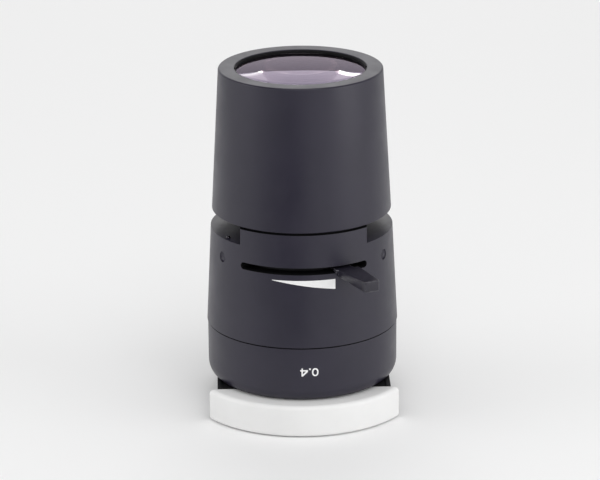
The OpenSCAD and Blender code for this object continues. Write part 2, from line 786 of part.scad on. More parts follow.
module aperture_lever() {
    handle_top = handle_z + handle_h;
    color([0.08, 0.08, 0.09]) rotate([0, 0, lever_az]) difference() {
        union() {
            translate([0, 0, neck_z])
                linear_extrude(neck_t)
                    polygon([
                        [neck_in, -neck_in_half], [handle_in + overrun, -neck_out_half],
                        [handle_in + overrun, neck_out_half], [neck_in, neck_in_half]
                    ]);
            translate([cage_bore_r - tab_l, -tab_half, drive_z])
                cube([tab_l + neck_in - cage_bore_r + fit_gap, 2 * tab_half, tab_t]);
            difference() {
                translate([0, 0, handle_z])
                    linear_extrude(handle_h)
                        polygon([
                            [handle_in - overrun, -handle_root_half], [handle_reach, -handle_end_half],
                            [handle_reach, handle_end_half], [handle_in - overrun, handle_root_half]
                        ]);
                translate([0, 0, handle_z - overrun])
                    cylinder(h = handle_h + 2 * overrun, r = handle_in);
            }
        }
        for (y = [-tab_screw_half, tab_screw_half])
            translate([cage_bore_r - tab_screw_inset, y, drive_z - overrun]) {
                cylinder(h = overrun + lever_screw_head_h, r = lever_screw_head_r + thread_gap);
                cylinder(h = tab_t + 2 * overrun, r = lever_screw_r + thread_gap);
            }
        for (z = [handle_z, handle_top])
            translate([handle_reach, 0, z])
                rotate([0, 45, 0])
                    cube([handle_bevel * sqrt(2), 2 * handle_root_half, handle_bevel * sqrt(2)], center = true);
    }
}

module lever_screws() {
    color([0.7, 0.7, 0.72])
        rotate([0, 0, lever_az])
            for (y = [-tab_screw_half, tab_screw_half])
                translate([cage_bore_r - tab_screw_inset, y, 0])
                    cap_screw(drive_z, lever_screw_r, lever_screw_head_r, lever_screw_head_h, lever_screw_l - head_gap);
}

module detent_sleeve() {
    color([0.75, 0.62, 0.32])
        at_detent() difference() {
            translate([0, 0, floor_z - sleeve_h]) cylinder(h = sleeve_h, r = sleeve_r);
            translate([0, 0, floor_z - sleeve_h + sleeve_floor])
                cylinder(h = ball_z - floor_z + sleeve_h - sleeve_floor, r = ball_r + thread_gap);
            translate([0, 0, ball_z]) sphere(r = ball_r + thread_gap);
        }
}

module detent_ball() {
    color([0.85, 0.85, 0.87]) at_detent() translate([0, 0, ball_z]) sphere(r = ball_r);
}

// Coil of the detent spring: rings of points along a helix, joined into one tube
module detent_spring() {
    foot = floor_z - sleeve_h + sleeve_floor + spring_wire_r + thread_gap;
    head = ball_z - ball_r - spring_wire_r - thread_gap;
    coil_r = ball_r - spring_wire_r - fit_gap;
    sides = 6;
    steps = spring_turns * spring_steps;
    points = [
        for (i = [0 : steps]) for (k = [0 : sides - 1])
            let (a = 360 * i / spring_steps, b = 360 * k / sides, r = coil_r + spring_wire_r * cos(b))
            [r * cos(a), r * sin(a), foot + (head - foot) * i / steps + spring_wire_r * sin(b)]
    ];
    walls = [
        for (i = [0 : steps - 1]) for (k = [0 : sides - 1])
            let (p = i * sides + k, q = i * sides + (k + 1) % sides)
            each [[p, p + sides, q], [q, p + sides, q + sides]]
    ];
    caps = [[for (k = [0 : sides - 1]) k], [for (k = [sides - 1 : -1 : 0]) steps * sides + k]];
    color([0.7, 0.7, 0.72])
        at_detent() polyhedron(points = points, faces = concat(walls, caps), convexity = 10);
}

module barrel() {
    color([0.1, 0.1, 0.11]) difference() {
        union() {
            translate([0, 0, barrel_z])
                cylinder(h = barrel_foot_chamfer, r1 = barrel_foot_r - barrel_foot_chamfer, r2 = barrel_foot_r);
            translate([0, 0, barrel_z + barrel_foot_chamfer])
                cylinder(h = barrel_h - barrel_foot_chamfer - barrel_round, r1 = barrel_foot_r, r2 = barrel_top_r);
            rotate_extrude() {
                translate([0, top_z - 2 * barrel_round]) square([barrel_top_r - barrel_round, 2 * barrel_round]);
                translate([barrel_top_r - barrel_round, top_z - barrel_round]) circle(r = barrel_round);
            }
        }
        translate([0, 0, barrel_z - overrun]) cylinder(h = barrel_h, r = flange_bore_r);
        translate([0, 0, rear_z]) cylinder(h = barrel_h, r = lens_bore_r);
        translate([0, 0, top_z - rim_chamfer])
            cylinder(h = 2 * rim_chamfer, r1 = lens_bore_r, r2 = lens_bore_r + 2 * rim_chamfer);
        four(barrel_screw_x, barrel_screw_y)
            translate([0, 0, barrel_z - overrun])
                cylinder(h = overrun + barrel_screw_grip + head_gap, r = barrel_screw_r + thread_gap);
    }
}

module barrel_screws() {
    head_z = web_z + barrel_screw_sunk;
    color([0.35, 0.35, 0.37])
        four(barrel_screw_x, barrel_screw_y)
            cap_screw(head_z, barrel_screw_r, barrel_screw_head_r, barrel_screw_head_h,
                      barrel_z - head_z - barrel_screw_head_h + barrel_screw_grip);
}

module rear_lens() {
    color([0.8, 0.85, 0.9, 0.5]) {
        translate([0, 0, rear_z]) cylinder(h = rear_edge_t, r = lens_r);
        lens_cap(spacer_z, inner_clear_r, rear_curve);
    }
}

module spacer_tube() {
    pitch = (front_z - spacer_z) / (baffle_grooves + 1);
    color([0.06, 0.06, 0.07]) difference() {
        ring(spacer_z, front_z, lens_r - spacer_wall, lens_r);
        for (i = [1 : baffle_grooves])
            translate([0, 0, spacer_z + i * pitch - baffle_groove_w / 2])
                cylinder(h = baffle_groove_w, r = lens_r - spacer_wall + baffle_groove_depth);
    }
}

module front_lens() {
    color([0.75, 0.65, 0.8, 0.5]) {
        translate([0, 0, front_z]) cylinder(h = front_edge_t, r = lens_r);
        lens_cap(front_ring_z, front_clear_r, front_outer_curve);
        translate([0, 0, 2 * front_z]) mirror([0, 0, 1]) lens_cap(front_z, inner_clear_r, front_inner_curve);
    }
}

module front_lens_ring() {
    top = front_ring_z + front_ring_h;
    color([0.05, 0.05, 0.06]) difference() {
        ring(front_ring_z, top, front_ring_bore_r, lens_bore_r - thread_gap);
        translate([0, 0, top - ring_bevel])
            cylinder(h = 2 * ring_bevel, r1 = front_ring_bore_r, r2 = front_ring_bore_r + 2 * ring_bevel);
        spanner_notches(top - spanner_depth, spanner_depth + overrun, lens_bore_r + overrun);
    }
}

slide_plate();
front_grip();
grip_screws();
base_screws();
diffuser();
diffuser_ring();
base_ring();
collector_lens();
collector_ring();
housing();
opening_mark();
housing_set_screws();
iris_cage();
color([0.16, 0.16, 0.18]) iris_blade(0);  // iris_blade_1
color([0.2, 0.2, 0.22]) iris_blade(1);  // iris_blade_2
color([0.16, 0.16, 0.18]) iris_blade(2);  // iris_blade_3
color([0.2, 0.2, 0.22]) iris_blade(3);  // iris_blade_4
color([0.16, 0.16, 0.18]) iris_blade(4);  // iris_blade_5
color([0.2, 0.2, 0.22]) iris_blade(5);  // iris_blade_6
color([0.16, 0.16, 0.18]) iris_blade(6);  // iris_blade_7
color([0.2, 0.2, 0.22]) iris_blade(7);  // iris_blade_8
iris_drive_ring();
friction_ring();
iris_closing_ring();
aperture_lever();
lever_screws();
detent_sleeve();
detent_ball();
detent_spring();
barrel();
barrel_screws();
rear_lens();
spacer_tube();
front_lens();
front_lens_ring();
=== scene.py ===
"""A microscope condenser that stands on its slide-in plate with the front lens up.

Lengths are metres in the part's own frame: the origin is on the optical axis in the underside of the
slide plate, +Z runs up the optical axis, and -Y is the front, where the grip and the aperture lever are.
"""

import sys

import logging
import math
from collections.abc import Callable, Sequence
from dataclasses import dataclass
from enum import Enum

import bmesh
import bpy
from mathutils import Matrix, Vector


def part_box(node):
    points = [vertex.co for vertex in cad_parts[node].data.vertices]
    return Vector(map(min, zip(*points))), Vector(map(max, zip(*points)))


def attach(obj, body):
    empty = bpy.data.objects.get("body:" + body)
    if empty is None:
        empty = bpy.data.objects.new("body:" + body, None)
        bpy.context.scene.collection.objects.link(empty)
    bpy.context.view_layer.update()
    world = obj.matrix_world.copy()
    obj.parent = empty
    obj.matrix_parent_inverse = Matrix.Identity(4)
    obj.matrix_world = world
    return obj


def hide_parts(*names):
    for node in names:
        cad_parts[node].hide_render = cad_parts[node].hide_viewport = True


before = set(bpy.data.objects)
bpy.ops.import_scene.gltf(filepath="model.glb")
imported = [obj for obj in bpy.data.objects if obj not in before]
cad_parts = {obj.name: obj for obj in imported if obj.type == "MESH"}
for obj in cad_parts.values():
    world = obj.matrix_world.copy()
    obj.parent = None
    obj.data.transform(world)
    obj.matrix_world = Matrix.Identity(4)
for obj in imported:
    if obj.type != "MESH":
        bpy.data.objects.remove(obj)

MM = 0.001
SEGMENTS = 192
ROUNDING_ROOM = 0.01 * MM
LOG = logging.getLogger("condenser")

Point2 = tuple[float, float]
Point3 = tuple[float, float, float]
Corner = tuple[float, float, float]
Colour = tuple[float, float, float]


class Body(Enum):
    """The bodies that a piece can ride on."""

    FIXED = "body"
    LEVER = "lever"


class Carving(Enum):
    """What a cutter does to the piece that it meets."""

    CUT = "DIFFERENCE"
    JOIN = "UNION"


def rounded(corners: Sequence[Corner], steps: int = 6) -> list[Point2]:
    """Turn a closed outline of corners into points, with an arc at each rounded corner.

    Args:
        corners: First coordinate, second coordinate and rounding radius of each corner, in order.
        steps: Number of straight pieces in each arc.

    Returns:
        The outline's points, in the same order.
    """
    points: list[Point2] = []
    count = len(corners)
    for i, (x, y, radius) in enumerate(corners):
        here = Vector((x, y))
        if radius <= 0:
            points.append((x, y))
            continue
        before = Vector(corners[i - 1][:2]) - here
        after = Vector(corners[(i + 1) % count][:2]) - here
        before.normalize()
        after.normalize()
        half = before.angle(after) / 2
        start = here + before * (radius / math.tan(half))
        centre = here + (before + after).normalized() * (radius / math.sin(half))
        first = start - centre
        turn = math.pi - 2 * half
        if before.x * after.y - before.y * after.x > 0:
            turn = -turn
        for k in range(steps + 1):
            angle = turn * k / steps
            offset = Vector((
                first.x * math.cos(angle) - first.y * math.sin(angle),
                first.x * math.sin(angle) + first.y * math.cos(angle),
            ))
            points.append((centre.x + offset.x, centre.y + offset.y))
    return points


def arc(centre: Point2, radius: float, start: float, end: float, steps: int) -> list[Point2]:
    """Points along an arc.

    Args:
        centre: Centre of the arc.
        radius: Radius of the arc.
        start: First direction, in radians.
        end: Last direction, in radians.
        steps: Number of straight pieces.

    Returns:
        The points from start to end, both included.
    """
    directions = [start + (end - start) * k / steps for k in range(steps + 1)]
    return [(centre[0] + radius * math.cos(a), centre[1] + radius * math.sin(a)) for a in directions]


def finish_mesh(name: str, shape: bmesh.types.BMesh, sharp: float = 35.0) -> bpy.types.Object:
    """Make an object of a finished shape, smooth except at its sharp edges.

    Args:
        name: The piece's name.
        shape: The shape, which is freed.
        sharp: Angle from which an edge stays sharp, in degrees.

    Returns:
        The new object, linked to the scene.
    """
    bmesh.ops.recalc_face_normals(shape, faces=shape.faces)
    mesh = bpy.data.meshes.new(name)
    shape.to_mesh(mesh)
    shape.free()
    piece = bpy.data.objects.new(name, mesh)
    bpy.context.scene.collection.objects.link(piece)
    shade(piece, sharp)
    return piece


def shade(piece: bpy.types.Object, sharp: float = 35.0) -> None:
    """Shade a piece smooth, except at its sharp edges.

    Args:
        piece: The piece to shade.
        sharp: Angle from which an edge stays sharp, in degrees.
    """
    piece.data.shade_smooth()
    piece.data.set_sharp_from_angle(angle=math.radians(sharp))


def lathe(name: str, profile: Sequence[Point2], segments: int = SEGMENTS) -> bpy.types.Object:
    """Turn a closed profile round the optical axis.

    Args:
        name: The piece's name.
        profile: Radius and height of each point. A radius of zero lies on the axis.
        segments: Number of steps round the axis.

    Returns:
        The turned piece.
    """
    shape = bmesh.new()
    rings: list[list[bmesh.types.BMVert]] = []
    for radius, height in profile:
        if radius == 0:
            rings.append([shape.verts.new((0, 0, height))] * segments)
            continue
        turns = [2 * math.pi * k / segments for k in range(segments)]
        rings.append([shape.verts.new((radius * math.sin(a), -radius * math.cos(a), height)) for a in turns])
    for i, ring in enumerate(rings):
        other = rings[(i + 1) % len(rings)]
        for k in range(segments):
            following = (k + 1) % segments
            loop = list(dict.fromkeys((ring[k], ring[following], other[following], other[k])))
            if len(loop) > 2:
                shape.faces.new(loop)
    return finish_mesh(name, shape)


def merge(name: str, pieces: Sequence[bpy.types.Object]) -> bpy.types.Object:
    """Put pieces together into one piece of separate solids.

    Args:
        name: The new piece's name.
        pieces: The pieces, which are removed.

    Returns:
        The new piece.
    """
    shape = bmesh.new()
    for piece in pieces:
        shape.from_mesh(piece.data)
        bpy.data.objects.remove(piece)
    return finish_mesh(name, shape)


def paint_faces(piece: bpy.types.Object, finish: "Finish", wanted: Callable[[Vector], bool]) -> None:
    """Give a second finish to the faces of a dressed piece that are wanted.

    Args:
        piece: The dressed piece.
        finish: Finish of the wanted faces.
        wanted: Tells from a face's middle whether the face is wanted.
    """
    piece.data.materials.append(finish.material())
    index = len(piece.data.materials) - 1
    for polygon in piece.data.polygons:
        if wanted(polygon.center):
            polygon.material_index = index


def loft(name: str, levels: Sequence[Sequence[Vector]]) -> bpy.types.Object:
    """Join closed loops of equal length into a solid with flat ends.

    Args:
        name: The piece's name.
        levels: The loops, from the first end to the last.

    Returns:
        The lofted piece.
    """
    shape = bmesh.new()
    loops = [[shape.verts.new(point) for point in level] for level in levels]
    shape.faces.new(loops[0])
    shape.faces.new(loops[-1])
    for lower, upper in zip(loops, loops[1:]):
        for k, vertex in enumerate(lower):
            following = (k + 1) % len(lower)
            shape.faces.new((vertex, lower[following], upper[following], upper[k]))
    return finish_mesh(name, shape)


def prism(name: str, outline: Sequence[Point2], low: float, high: float) -> bpy.types.Object:
    """Raise an outline in X and Y into a prism between two heights."""
    return loft(name, [[Vector((x, y, z)) for x, y in outline] for z in (low, high)])


def box(name: str, low: Sequence[float], high: Sequence[float]) -> bpy.types.Object:
    """Make a block between two corners, for cutting."""
    outline = [(low[0], low[1]), (high[0], low[1]), (high[0], high[1]), (low[0], high[1])]
    return prism(name, outline, low[2], high[2])


def cylinder(name: str, radius: float, foot: Vector, along: Vector, segments: int = 48) -> bpy.types.Object:
    """Make a cylinder, for cutting.

    Args:
        name: The cutter's name.
        radius: Radius of the cylinder.
        foot: Centre of its first end.
        along: Vector from the first end to the other.
        segments: Number of sides.

    Returns:
        The cylinder.
    """
    across = along.orthogonal().normalized()
    up = along.normalized().cross(across)
    turns = [2 * math.pi * k / segments for k in range(segments)]
    ring = [across * radius * math.cos(a) + up * radius * math.sin(a) for a in turns]
    return loft(name, [[foot + p for p in ring], [foot + along + p for p in ring]])


def on_cylinder(turn: float, radius: float, height: float) -> Vector:
    """Point at a direction from the front towards +X, in radians, at a radius and a height."""
    return Vector((radius * math.sin(turn), -radius * math.cos(turn), height))


def bake_modifiers(piece: bpy.types.Object) -> None:
    """Replace a piece's mesh by what its modifiers make of it.

    Args:
        piece: The piece to change.
    """
    mesh = bpy.data.meshes.new_from_object(piece.evaluated_get(bpy.context.evaluated_depsgraph_get()))
    piece.modifiers.clear()
    piece.data = mesh


def carve(piece: bpy.types.Object, cutters: Sequence[bpy.types.Object], how: Carving = Carving.CUT) -> None:
    """Cut a piece with others or join them to it, and remove them.

    Args:
        piece: The piece to change.
        cutters: The pieces to carve it with.
        how: What the cutters do.
    """
    for cutter in cutters:
        modifier = piece.modifiers.new("carving", "BOOLEAN")
        modifier.operation = how.value
        modifier.object = cutter
        modifier.solver = "EXACT"
    bake_modifiers(piece)
    for cutter in cutters:
        bpy.data.objects.remove(cutter)


def soften_edges(piece: bpy.types.Object, width: float, segments: int = 2, limit: float = 40.0) -> None:
    """Break a piece's sharp edges with a small round.

    Args:
        piece: The piece to change.
        width: Width of the round.
        segments: Number of faces across the round.
        limit: Angle from which an edge is broken, in degrees.
    """
    modifier = piece.modifiers.new("edges", "BEVEL")
    modifier.width = width
    modifier.segments = segments
    modifier.limit_method = "ANGLE"
    modifier.angle_limit = math.radians(limit)
    modifier.use_clamp_overlap = True
    bake_modifiers(piece)
    shade(piece)


class Graph:
    """A shader node tree, with short ways to add and join nodes."""

    def __init__(self, tree: bpy.types.NodeTree) -> None:
        """Take over a node tree and empty it.

        Args:
            tree: The tree to work on.
        """
        self.tree = tree
        tree.nodes.clear()

    def add(self, kind: str, **settings: object) -> bpy.types.Node:
        """Add a node.

        Args:
            kind: Type name of the node, without its ShaderNode start.
            settings: Properties of the node.

        Returns:
            The new node.
        """
        node = self.tree.nodes.new(kind if kind.startswith("NodeGroup") else "ShaderNode" + kind)
        for name, value in settings.items():
            setattr(node, name, value)
        return node

    def join(self, out: bpy.types.NodeSocket, into: bpy.types.NodeSocket) -> None:
        """Link an output to an input."""
        self.tree.links.new(out, into)

    def feed(self, value: object, into: bpy.types.NodeSocket) -> None:
        """Link a socket to an input, or set the input to a plain value.

        Args:
            value: The socket or the plain value.
            into: The input.
        """
        if isinstance(value, bpy.types.NodeSocket):
            self.join(value, into)
        else:
            into.default_value = value

    def math(self, operation: str, *values: object) -> bpy.types.NodeSocket:
        """Work out a number.

        Args:
            operation: The Math node's operation.
            values: Sockets or numbers that it works on.

        Returns:
            The result's socket.
        """
        node = self.add("Math", operation=operation)
        for value, into in zip(values, node.inputs):
            self.feed(value, into)
        return node.outputs[0]

    def noise(
        self, vector: object, scale: object, detail: float, roughness: float = 0.55,
    ) -> bpy.types.NodeSocket:
        """Add a noise texture.

        Args:
            vector: Socket of the place to look up.
            scale: Features in a metre.
            detail: Number of finer layers.
            roughness: Weight of the finer layers.

        Returns:
            Socket of the noise, about 0.5 in the middle.
        """
        node = self.add("TexNoise")
        self.feed(vector, node.inputs["Vector"])
        self.feed(scale, node.inputs["Scale"])
        node.inputs["Detail"].default_value = detail
        node.inputs["Roughness"].default_value = roughness
        return node.outputs[0]

    def remap(
        self, value: object, low: object, high: object, out_low: object = 0.0, out_high: object = 1.0,
    ) -> bpy.types.NodeSocket:
        """Stretch a range of values to another one.

        Args:
            value: Socket of the value.
            low: Value that becomes out_low.
            high: Value that becomes out_high.
            out_low: First end of the result.
            out_high: Other end of the result.

        Returns:
            Socket of the result.
        """
        node = self.add("MapRange")
        for number, into in zip((value, low, high, out_low, out_high), node.inputs):
            self.feed(number, into)
        return node.outputs[0]

    def soft_step(self, value: object, low: float, high: float) -> bpy.types.NodeSocket:
        """Rise softly from 0 to 1 while a value goes from one number to another.

        Args:
            value: Socket of the value.
            low: Value that becomes 0.
            high: Value that becomes 1.

        Returns:
            Socket of the result.
        """
        node = self.add("MapRange", interpolation_type="SMOOTHSTEP")
        self.feed(value, node.inputs["Value"])
        node.inputs["From Min"].default_value = low
        node.inputs["From Max"].default_value = high
        return node.outputs["Result"]

    def blend(self, factor: object, first: object, second: object) -> bpy.types.NodeSocket:
        """Mix two colours.

        Args:
            factor: How much of the second colour is used, from 0 to 1.
            first: Socket or value of the first colour.
            second: Socket or value of the second colour.

        Returns:
            Socket of the mixed colour.
        """
        node = self.add("Mix", data_type="RGBA")
        self.feed(factor, node.inputs["Factor"])
        self.feed(first, node.inputs["A"])
        self.feed(second, node.inputs["B"])
        return node.outputs["Result"]


def new_material(name: str) -> tuple[bpy.types.Material, Graph, bpy.types.Node]:
    """Make a material of one Principled shader.

    Args:
        name: The material's name.

    Returns:
        The material, its graph and its shader.
    """
    material = bpy.data.materials.new(name)
    material.use_nodes = True
    graph = Graph(material.node_tree)
    shader = graph.add("BsdfPrincipled")
    graph.join(shader.outputs[0], graph.add("OutputMaterial").inputs["Surface"])
    return material, graph, shader


def plain_material(name: str, colour: Colour, roughness: float, specular: float) -> bpy.types.Material:
    """Make an even material for the studio.

    Args:
        name: The material's name.
        colour: Its colour.
        roughness: Its roughness.
        specular: Its specular level.

    Returns:
        The material.
    """
    material, _, shader = new_material(name)
    shader.inputs["Base Color"].default_value = (*colour, 1.0)
    shader.inputs["Roughness"].default_value = roughness
    shader.inputs["Specular IOR Level"].default_value = specular
    return material


class Effect(Enum):
    """The effects that several finishes share."""

    GRAIN = "surface_grain"
    SMUDGE = "handling_smudge"
    TINT = "colour_drift"
    TURNING = "turning_marks"
    EDGE = "edge_rub"


class Effects:
    """Node groups of the shared effects, each made once."""

    PATCH = (0.35, 0.65)

    def __init__(self) -> None:
        """Start with no groups."""
        self.makers: dict[Effect, Callable[[], bpy.types.NodeTree]] = {
            Effect.GRAIN: self.grain,
            Effect.SMUDGE: self.smudge,
            Effect.TINT: self.tint,
            Effect.TURNING: self.turning,
            Effect.EDGE: self.edge,
        }
        self.groups: dict[Effect, bpy.types.NodeTree] = {}

    def place(self, graph: Graph, effect: Effect, **values: object) -> bpy.types.Node:
        """Put an effect into a material.

        Args:
            graph: The material's graph.
            effect: The effect to use.
            values: Values of the group's inputs, with _ for a space.

        Returns:
            The group node.
        """
        if effect not in self.groups:
            self.groups[effect] = self.makers[effect]()
        node = graph.add("Group", node_tree=self.groups[effect])
        for name, value in values.items():
            graph.feed(value, node.inputs[name.replace("_", " ")])
        return node

    @staticmethod
    def start(
        effect: Effect, inputs: dict[str, str], outputs: dict[str, str],
    ) -> tuple[Graph, dict[str, bpy.types.NodeSocket], dict[str, bpy.types.NodeSocket]]:
        """Begin a group with named inputs and outputs.

        Args:
            effect: The effect that the group makes.
            inputs: Socket type of each input.
            outputs: Socket type of each output.

        Returns:
            The group's graph, the inputs' sockets and the outputs' sockets, by name.
        """
        tree = bpy.data.node_groups.new(effect.value, "ShaderNodeTree")
        for direction, sockets in (("INPUT", inputs), ("OUTPUT", outputs)):
            for name, kind in sockets.items():
                tree.interface.new_socket(name, in_out=direction, socket_type="NodeSocket" + kind)
        graph = Graph(tree)
        source = graph.add("NodeGroupInput")
        target = graph.add("NodeGroupOutput")
        return graph, {n: source.outputs[n] for n in inputs}, {n: target.inputs[n] for n in outputs}

    def grain(self) -> bpy.types.NodeTree:
        """Make the group of a fine blasted or moulded grain.

        Returns:
            The group.
        """
        finer = 3.7
        fine_share = 0.5
        graph, given, out = self.start(
            Effect.GRAIN, {"Vector": "Vector", "Scale": "Float"}, {"Height": "Float"})
        coarse = graph.noise(given["Vector"], given["Scale"], 2.0)
        fine = graph.noise(given["Vector"], graph.math("MULTIPLY", given["Scale"], finer), 1.0)
        graph.join(graph.math("MULTIPLY_ADD", fine, fine_share, coarse), out["Height"])
        return graph.tree

    def smudge(self) -> bpy.types.NodeTree:
        """Make the group of soft patches where hands and dust change the gloss.

        Returns:
            The group.
        """
        graph, given, out = self.start(
            Effect.SMUDGE,
            {"Vector": "Vector", "Scale": "Float", "Low": "Float", "High": "Float"}, {"Value": "Float"})
        patches = graph.noise(given["Vector"], given["Scale"], 5.0, 0.6)
        graph.join(graph.remap(patches, *self.PATCH, given["Low"], given["High"]), out["Value"])
        return graph.tree

    def tint(self) -> bpy.types.NodeTree:
        """Make the group of a slow drift between two colours.

        Returns:
            The group.
        """
        graph, given, out = self.start(
            Effect.TINT,
            {"Vector": "Vector", "Scale": "Float", "First": "Color", "Second": "Color"}, {"Colour": "Color"})
        patches = graph.remap(graph.noise(given["Vector"], given["Scale"], 3.0), *self.PATCH)
        graph.join(graph.blend(patches, given["First"], given["Second"]), out["Colour"])
        return graph.tree

    def turning(self) -> bpy.types.NodeTree:
        """Make the group of the fine rings that a lathe leaves round the optical axis.

        Returns:
            The group.
        """
        graph, given, out = self.start(
            Effect.TURNING, {"Vector": "Vector", "Pitch": "Float"}, {"Height": "Float"})
        axes = graph.add("SeparateXYZ")
        graph.join(given["Vector"], axes.inputs[0])
        squares = [graph.math("POWER", graph.math("ABSOLUTE", axes.outputs[i]), 2.0) for i in (0, 1)]
        radius = graph.math("SQRT", graph.math("ADD", *squares))
        path = graph.math("DIVIDE", graph.math("ADD", radius, axes.outputs[2]), given["Pitch"])
        graph.join(graph.math("SINE", graph.math("MULTIPLY", path, 2 * math.pi)), out["Height"])
        return graph.tree

    def edge(self) -> bpy.types.NodeTree:
        """Make the group that lightens edges, broken up by noise: painted highlight where edges catch light,
        and edge rub.

        Returns:
            The group.
        """
        flat, edge_dot = 0.995, 0.80
        patch_low, patch_high = 0.40, 0.62
        graph, given, out = self.start(
            Effect.EDGE,
            {"Vector": "Vector", "Scale": "Float", "Width": "Float", "Amount": "Float"}, {"Mask": "Float"})
        soft = graph.add("Bevel", samples=4)
        graph.join(given["Width"], soft.inputs["Radius"])
        agreement = graph.add("VectorMath", operation="DOT_PRODUCT")
        graph.join(soft.outputs[0], agreement.inputs[0])
        graph.join(graph.add("NewGeometry").outputs["Normal"], agreement.inputs[1])
        near = graph.remap(agreement.outputs["Value"], flat, edge_dot)
        broken = graph.remap(graph.noise(given["Vector"], given["Scale"], 4.0), patch_low, patch_high)
        mask = graph.math("MULTIPLY", graph.math("MULTIPLY", near, broken), given["Amount"])
        graph.join(mask, out["Mask"])
        return graph.tree


EFFECTS = Effects()


@dataclass(frozen=True)
class Finish:
    """A solid finish: colour that drifts a little, gloss with smudges, and a fine grain."""

    name: str
    colour: Colour
    second: Colour
    roughness: Point2
    metallic: float = 0.0
    specular: float = 0.5
    grain_scale: float = 9000.0
    grain_depth: float = 0.000002
    edge_colour: Colour | None = None
    edge_amount: float = 0.0
    edge_width: float = 0.00025
    edge_scale: float = 900.0
    turning_pitch: float = 0.0
    tint_scale: float = 60.0
    smudge_scale: float = 110.0

    def material(self) -> bpy.types.Material:
        """Give the finish's material, made at the first call.

        Returns:
            The material.
        """
        known = bpy.data.materials.get(self.name)
        if known:
            return known
        material, graph, shader = new_material(self.name)
        self.paint(graph, shader, graph.add("TexCoord").outputs["Object"])
        return material

    def paint(self, graph: Graph, shader: bpy.types.Node, place: bpy.types.NodeSocket) -> None:
        """Set the shader's colour, gloss and relief.

        Args:
            graph: The material's graph.
            shader: The Principled shader.
            place: Socket of the place on the piece.
        """
        shader.inputs["Metallic"].default_value = self.metallic
        shader.inputs["Specular IOR Level"].default_value = self.specular
        tint = EFFECTS.place(graph, Effect.TINT, Vector=place, Scale=self.tint_scale,
                             First=(*self.colour, 1.0), Second=(*self.second, 1.0))
        colour = tint.outputs["Colour"]
        # Edges blend towards edge_colour: painted highlight, and edge rub on the anodised parts.
        if self.edge_colour:
            edge = EFFECTS.place(graph, Effect.EDGE, Vector=place, Scale=self.edge_scale,
                                 Width=self.edge_width, Amount=self.edge_amount)
            colour = graph.blend(edge.outputs["Mask"], colour, (*self.edge_colour, 1.0))
        graph.join(colour, shader.inputs["Base Color"])
        smudge = EFFECTS.place(graph, Effect.SMUDGE, Vector=place, Scale=self.smudge_scale,
                               Low=self.roughness[0], High=self.roughness[1])
        graph.join(smudge.outputs["Value"], shader.inputs["Roughness"])
        graph.join(self.relief(graph, place), shader.inputs["Normal"])

    def relief(self, graph: Graph, place: bpy.types.NodeSocket) -> bpy.types.NodeSocket:
        """Make the normal of the grain and of any turning marks.

        Args:
            graph: The material's graph.
            place: Socket of the place on the piece.

        Returns:
            Socket of the normal.
        """
        grain = EFFECTS.place(graph, Effect.GRAIN, Vector=place, Scale=self.grain_scale)
        height = grain.outputs["Height"]
        if self.turning_pitch:
            marks = EFFECTS.place(graph, Effect.TURNING, Vector=place, Pitch=self.turning_pitch)
            height = graph.math("ADD", height, marks.outputs["Height"])
        bump = graph.add("Bump")
        bump.inputs["Strength"].default_value = 1.0
        bump.inputs["Distance"].default_value = self.grain_depth
        graph.join(height, bump.inputs["Height"])
        return bump.outputs[0]


@dataclass(frozen=True)
class Glass(Finish):
    """A glass finish, clear or ground."""

    index: float = 1.52
    reflection_tint: Colour = (1.0, 1.0, 1.0)
    film: float = 0.0
    film_index: float = 1.38

    def paint(self, graph: Graph, shader: bpy.types.Node, place: bpy.types.NodeSocket) -> None:
        """Set the shader's colour, gloss and relief, and let light through.

        Args:
            graph: The material's graph.
            shader: The Principled shader.
            place: Socket of the place on the piece.
        """
        super().paint(graph, shader, place)
        shader.inputs["Transmission Weight"].default_value = 1.0
        shader.inputs["IOR"].default_value = self.index
        shader.inputs["Specular Tint"].default_value = (*self.reflection_tint, 1.0)
        shader.inputs["Thin Film Thickness"].default_value = self.film
        shader.inputs["Thin Film IOR"].default_value = self.film_index


# Its edges are lightened a little: edge rub and painted highlight.
BLACK_ANODISED = Finish(
    "black_anodised_alloy", (0.0135, 0.0115, 0.0250), (0.0165, 0.0140, 0.0290), (0.36, 0.43),
    edge_colour=(0.09, 0.09, 0.10), edge_amount=0.35)
PLATE_BLACK = Finish("black_slide_plate", (0.008, 0.008, 0.009), (0.012, 0.012, 0.013), (0.42, 0.52))
# Flat black of the inner parts. It is also painted on visible faces in shade as painted shade: the barrel
# underside and bore, the passage sides, the gap under the barrel and the base ring seam.
FLAT_BLACK_AND_PAINTED_SHADE = Finish(
    "flat_black_and_painted_shade", (0.004, 0.004, 0.005), (0.006, 0.006, 0.007), (0.55, 0.68), specular=0.2,
    turning_pitch=0.0004)
WHITE_MOULDING = Finish(
    "white_satin_moulding", (0.83, 0.83, 0.825), (0.86, 0.86, 0.855), (0.38, 0.46), grain_scale=5200.0)
# Its edges are lightened strongly towards pale grey: painted highlight along the rounded edges.
LEVER_BLACK = Finish(
    "black_lever_moulding", (0.016, 0.0145, 0.024), (0.021, 0.019, 0.030), (0.30, 0.40), grain_scale=5200.0,
    edge_colour=(0.38, 0.37, 0.40), edge_amount=1.0, edge_width=0.0005)
MARK_WHITE = Finish("white_filled_mark", (0.84, 0.84, 0.84), (0.90, 0.90, 0.90), (0.45, 0.55))
SCREW_BLACK = Finish(
    "black_oxide_screws", (0.03, 0.03, 0.034), (0.05, 0.05, 0.055), (0.30, 0.42), metallic=0.6)
BRIGHT_STEEL = Finish("bright_steel", (0.56, 0.57, 0.58), (0.62, 0.62, 0.63), (0.16, 0.26), metallic=1.0)
BLADE_STEEL = Finish(
    "blackened_blade_steel", (0.020, 0.020, 0.024), (0.035, 0.034, 0.036), (0.34, 0.48), metallic=0.7)
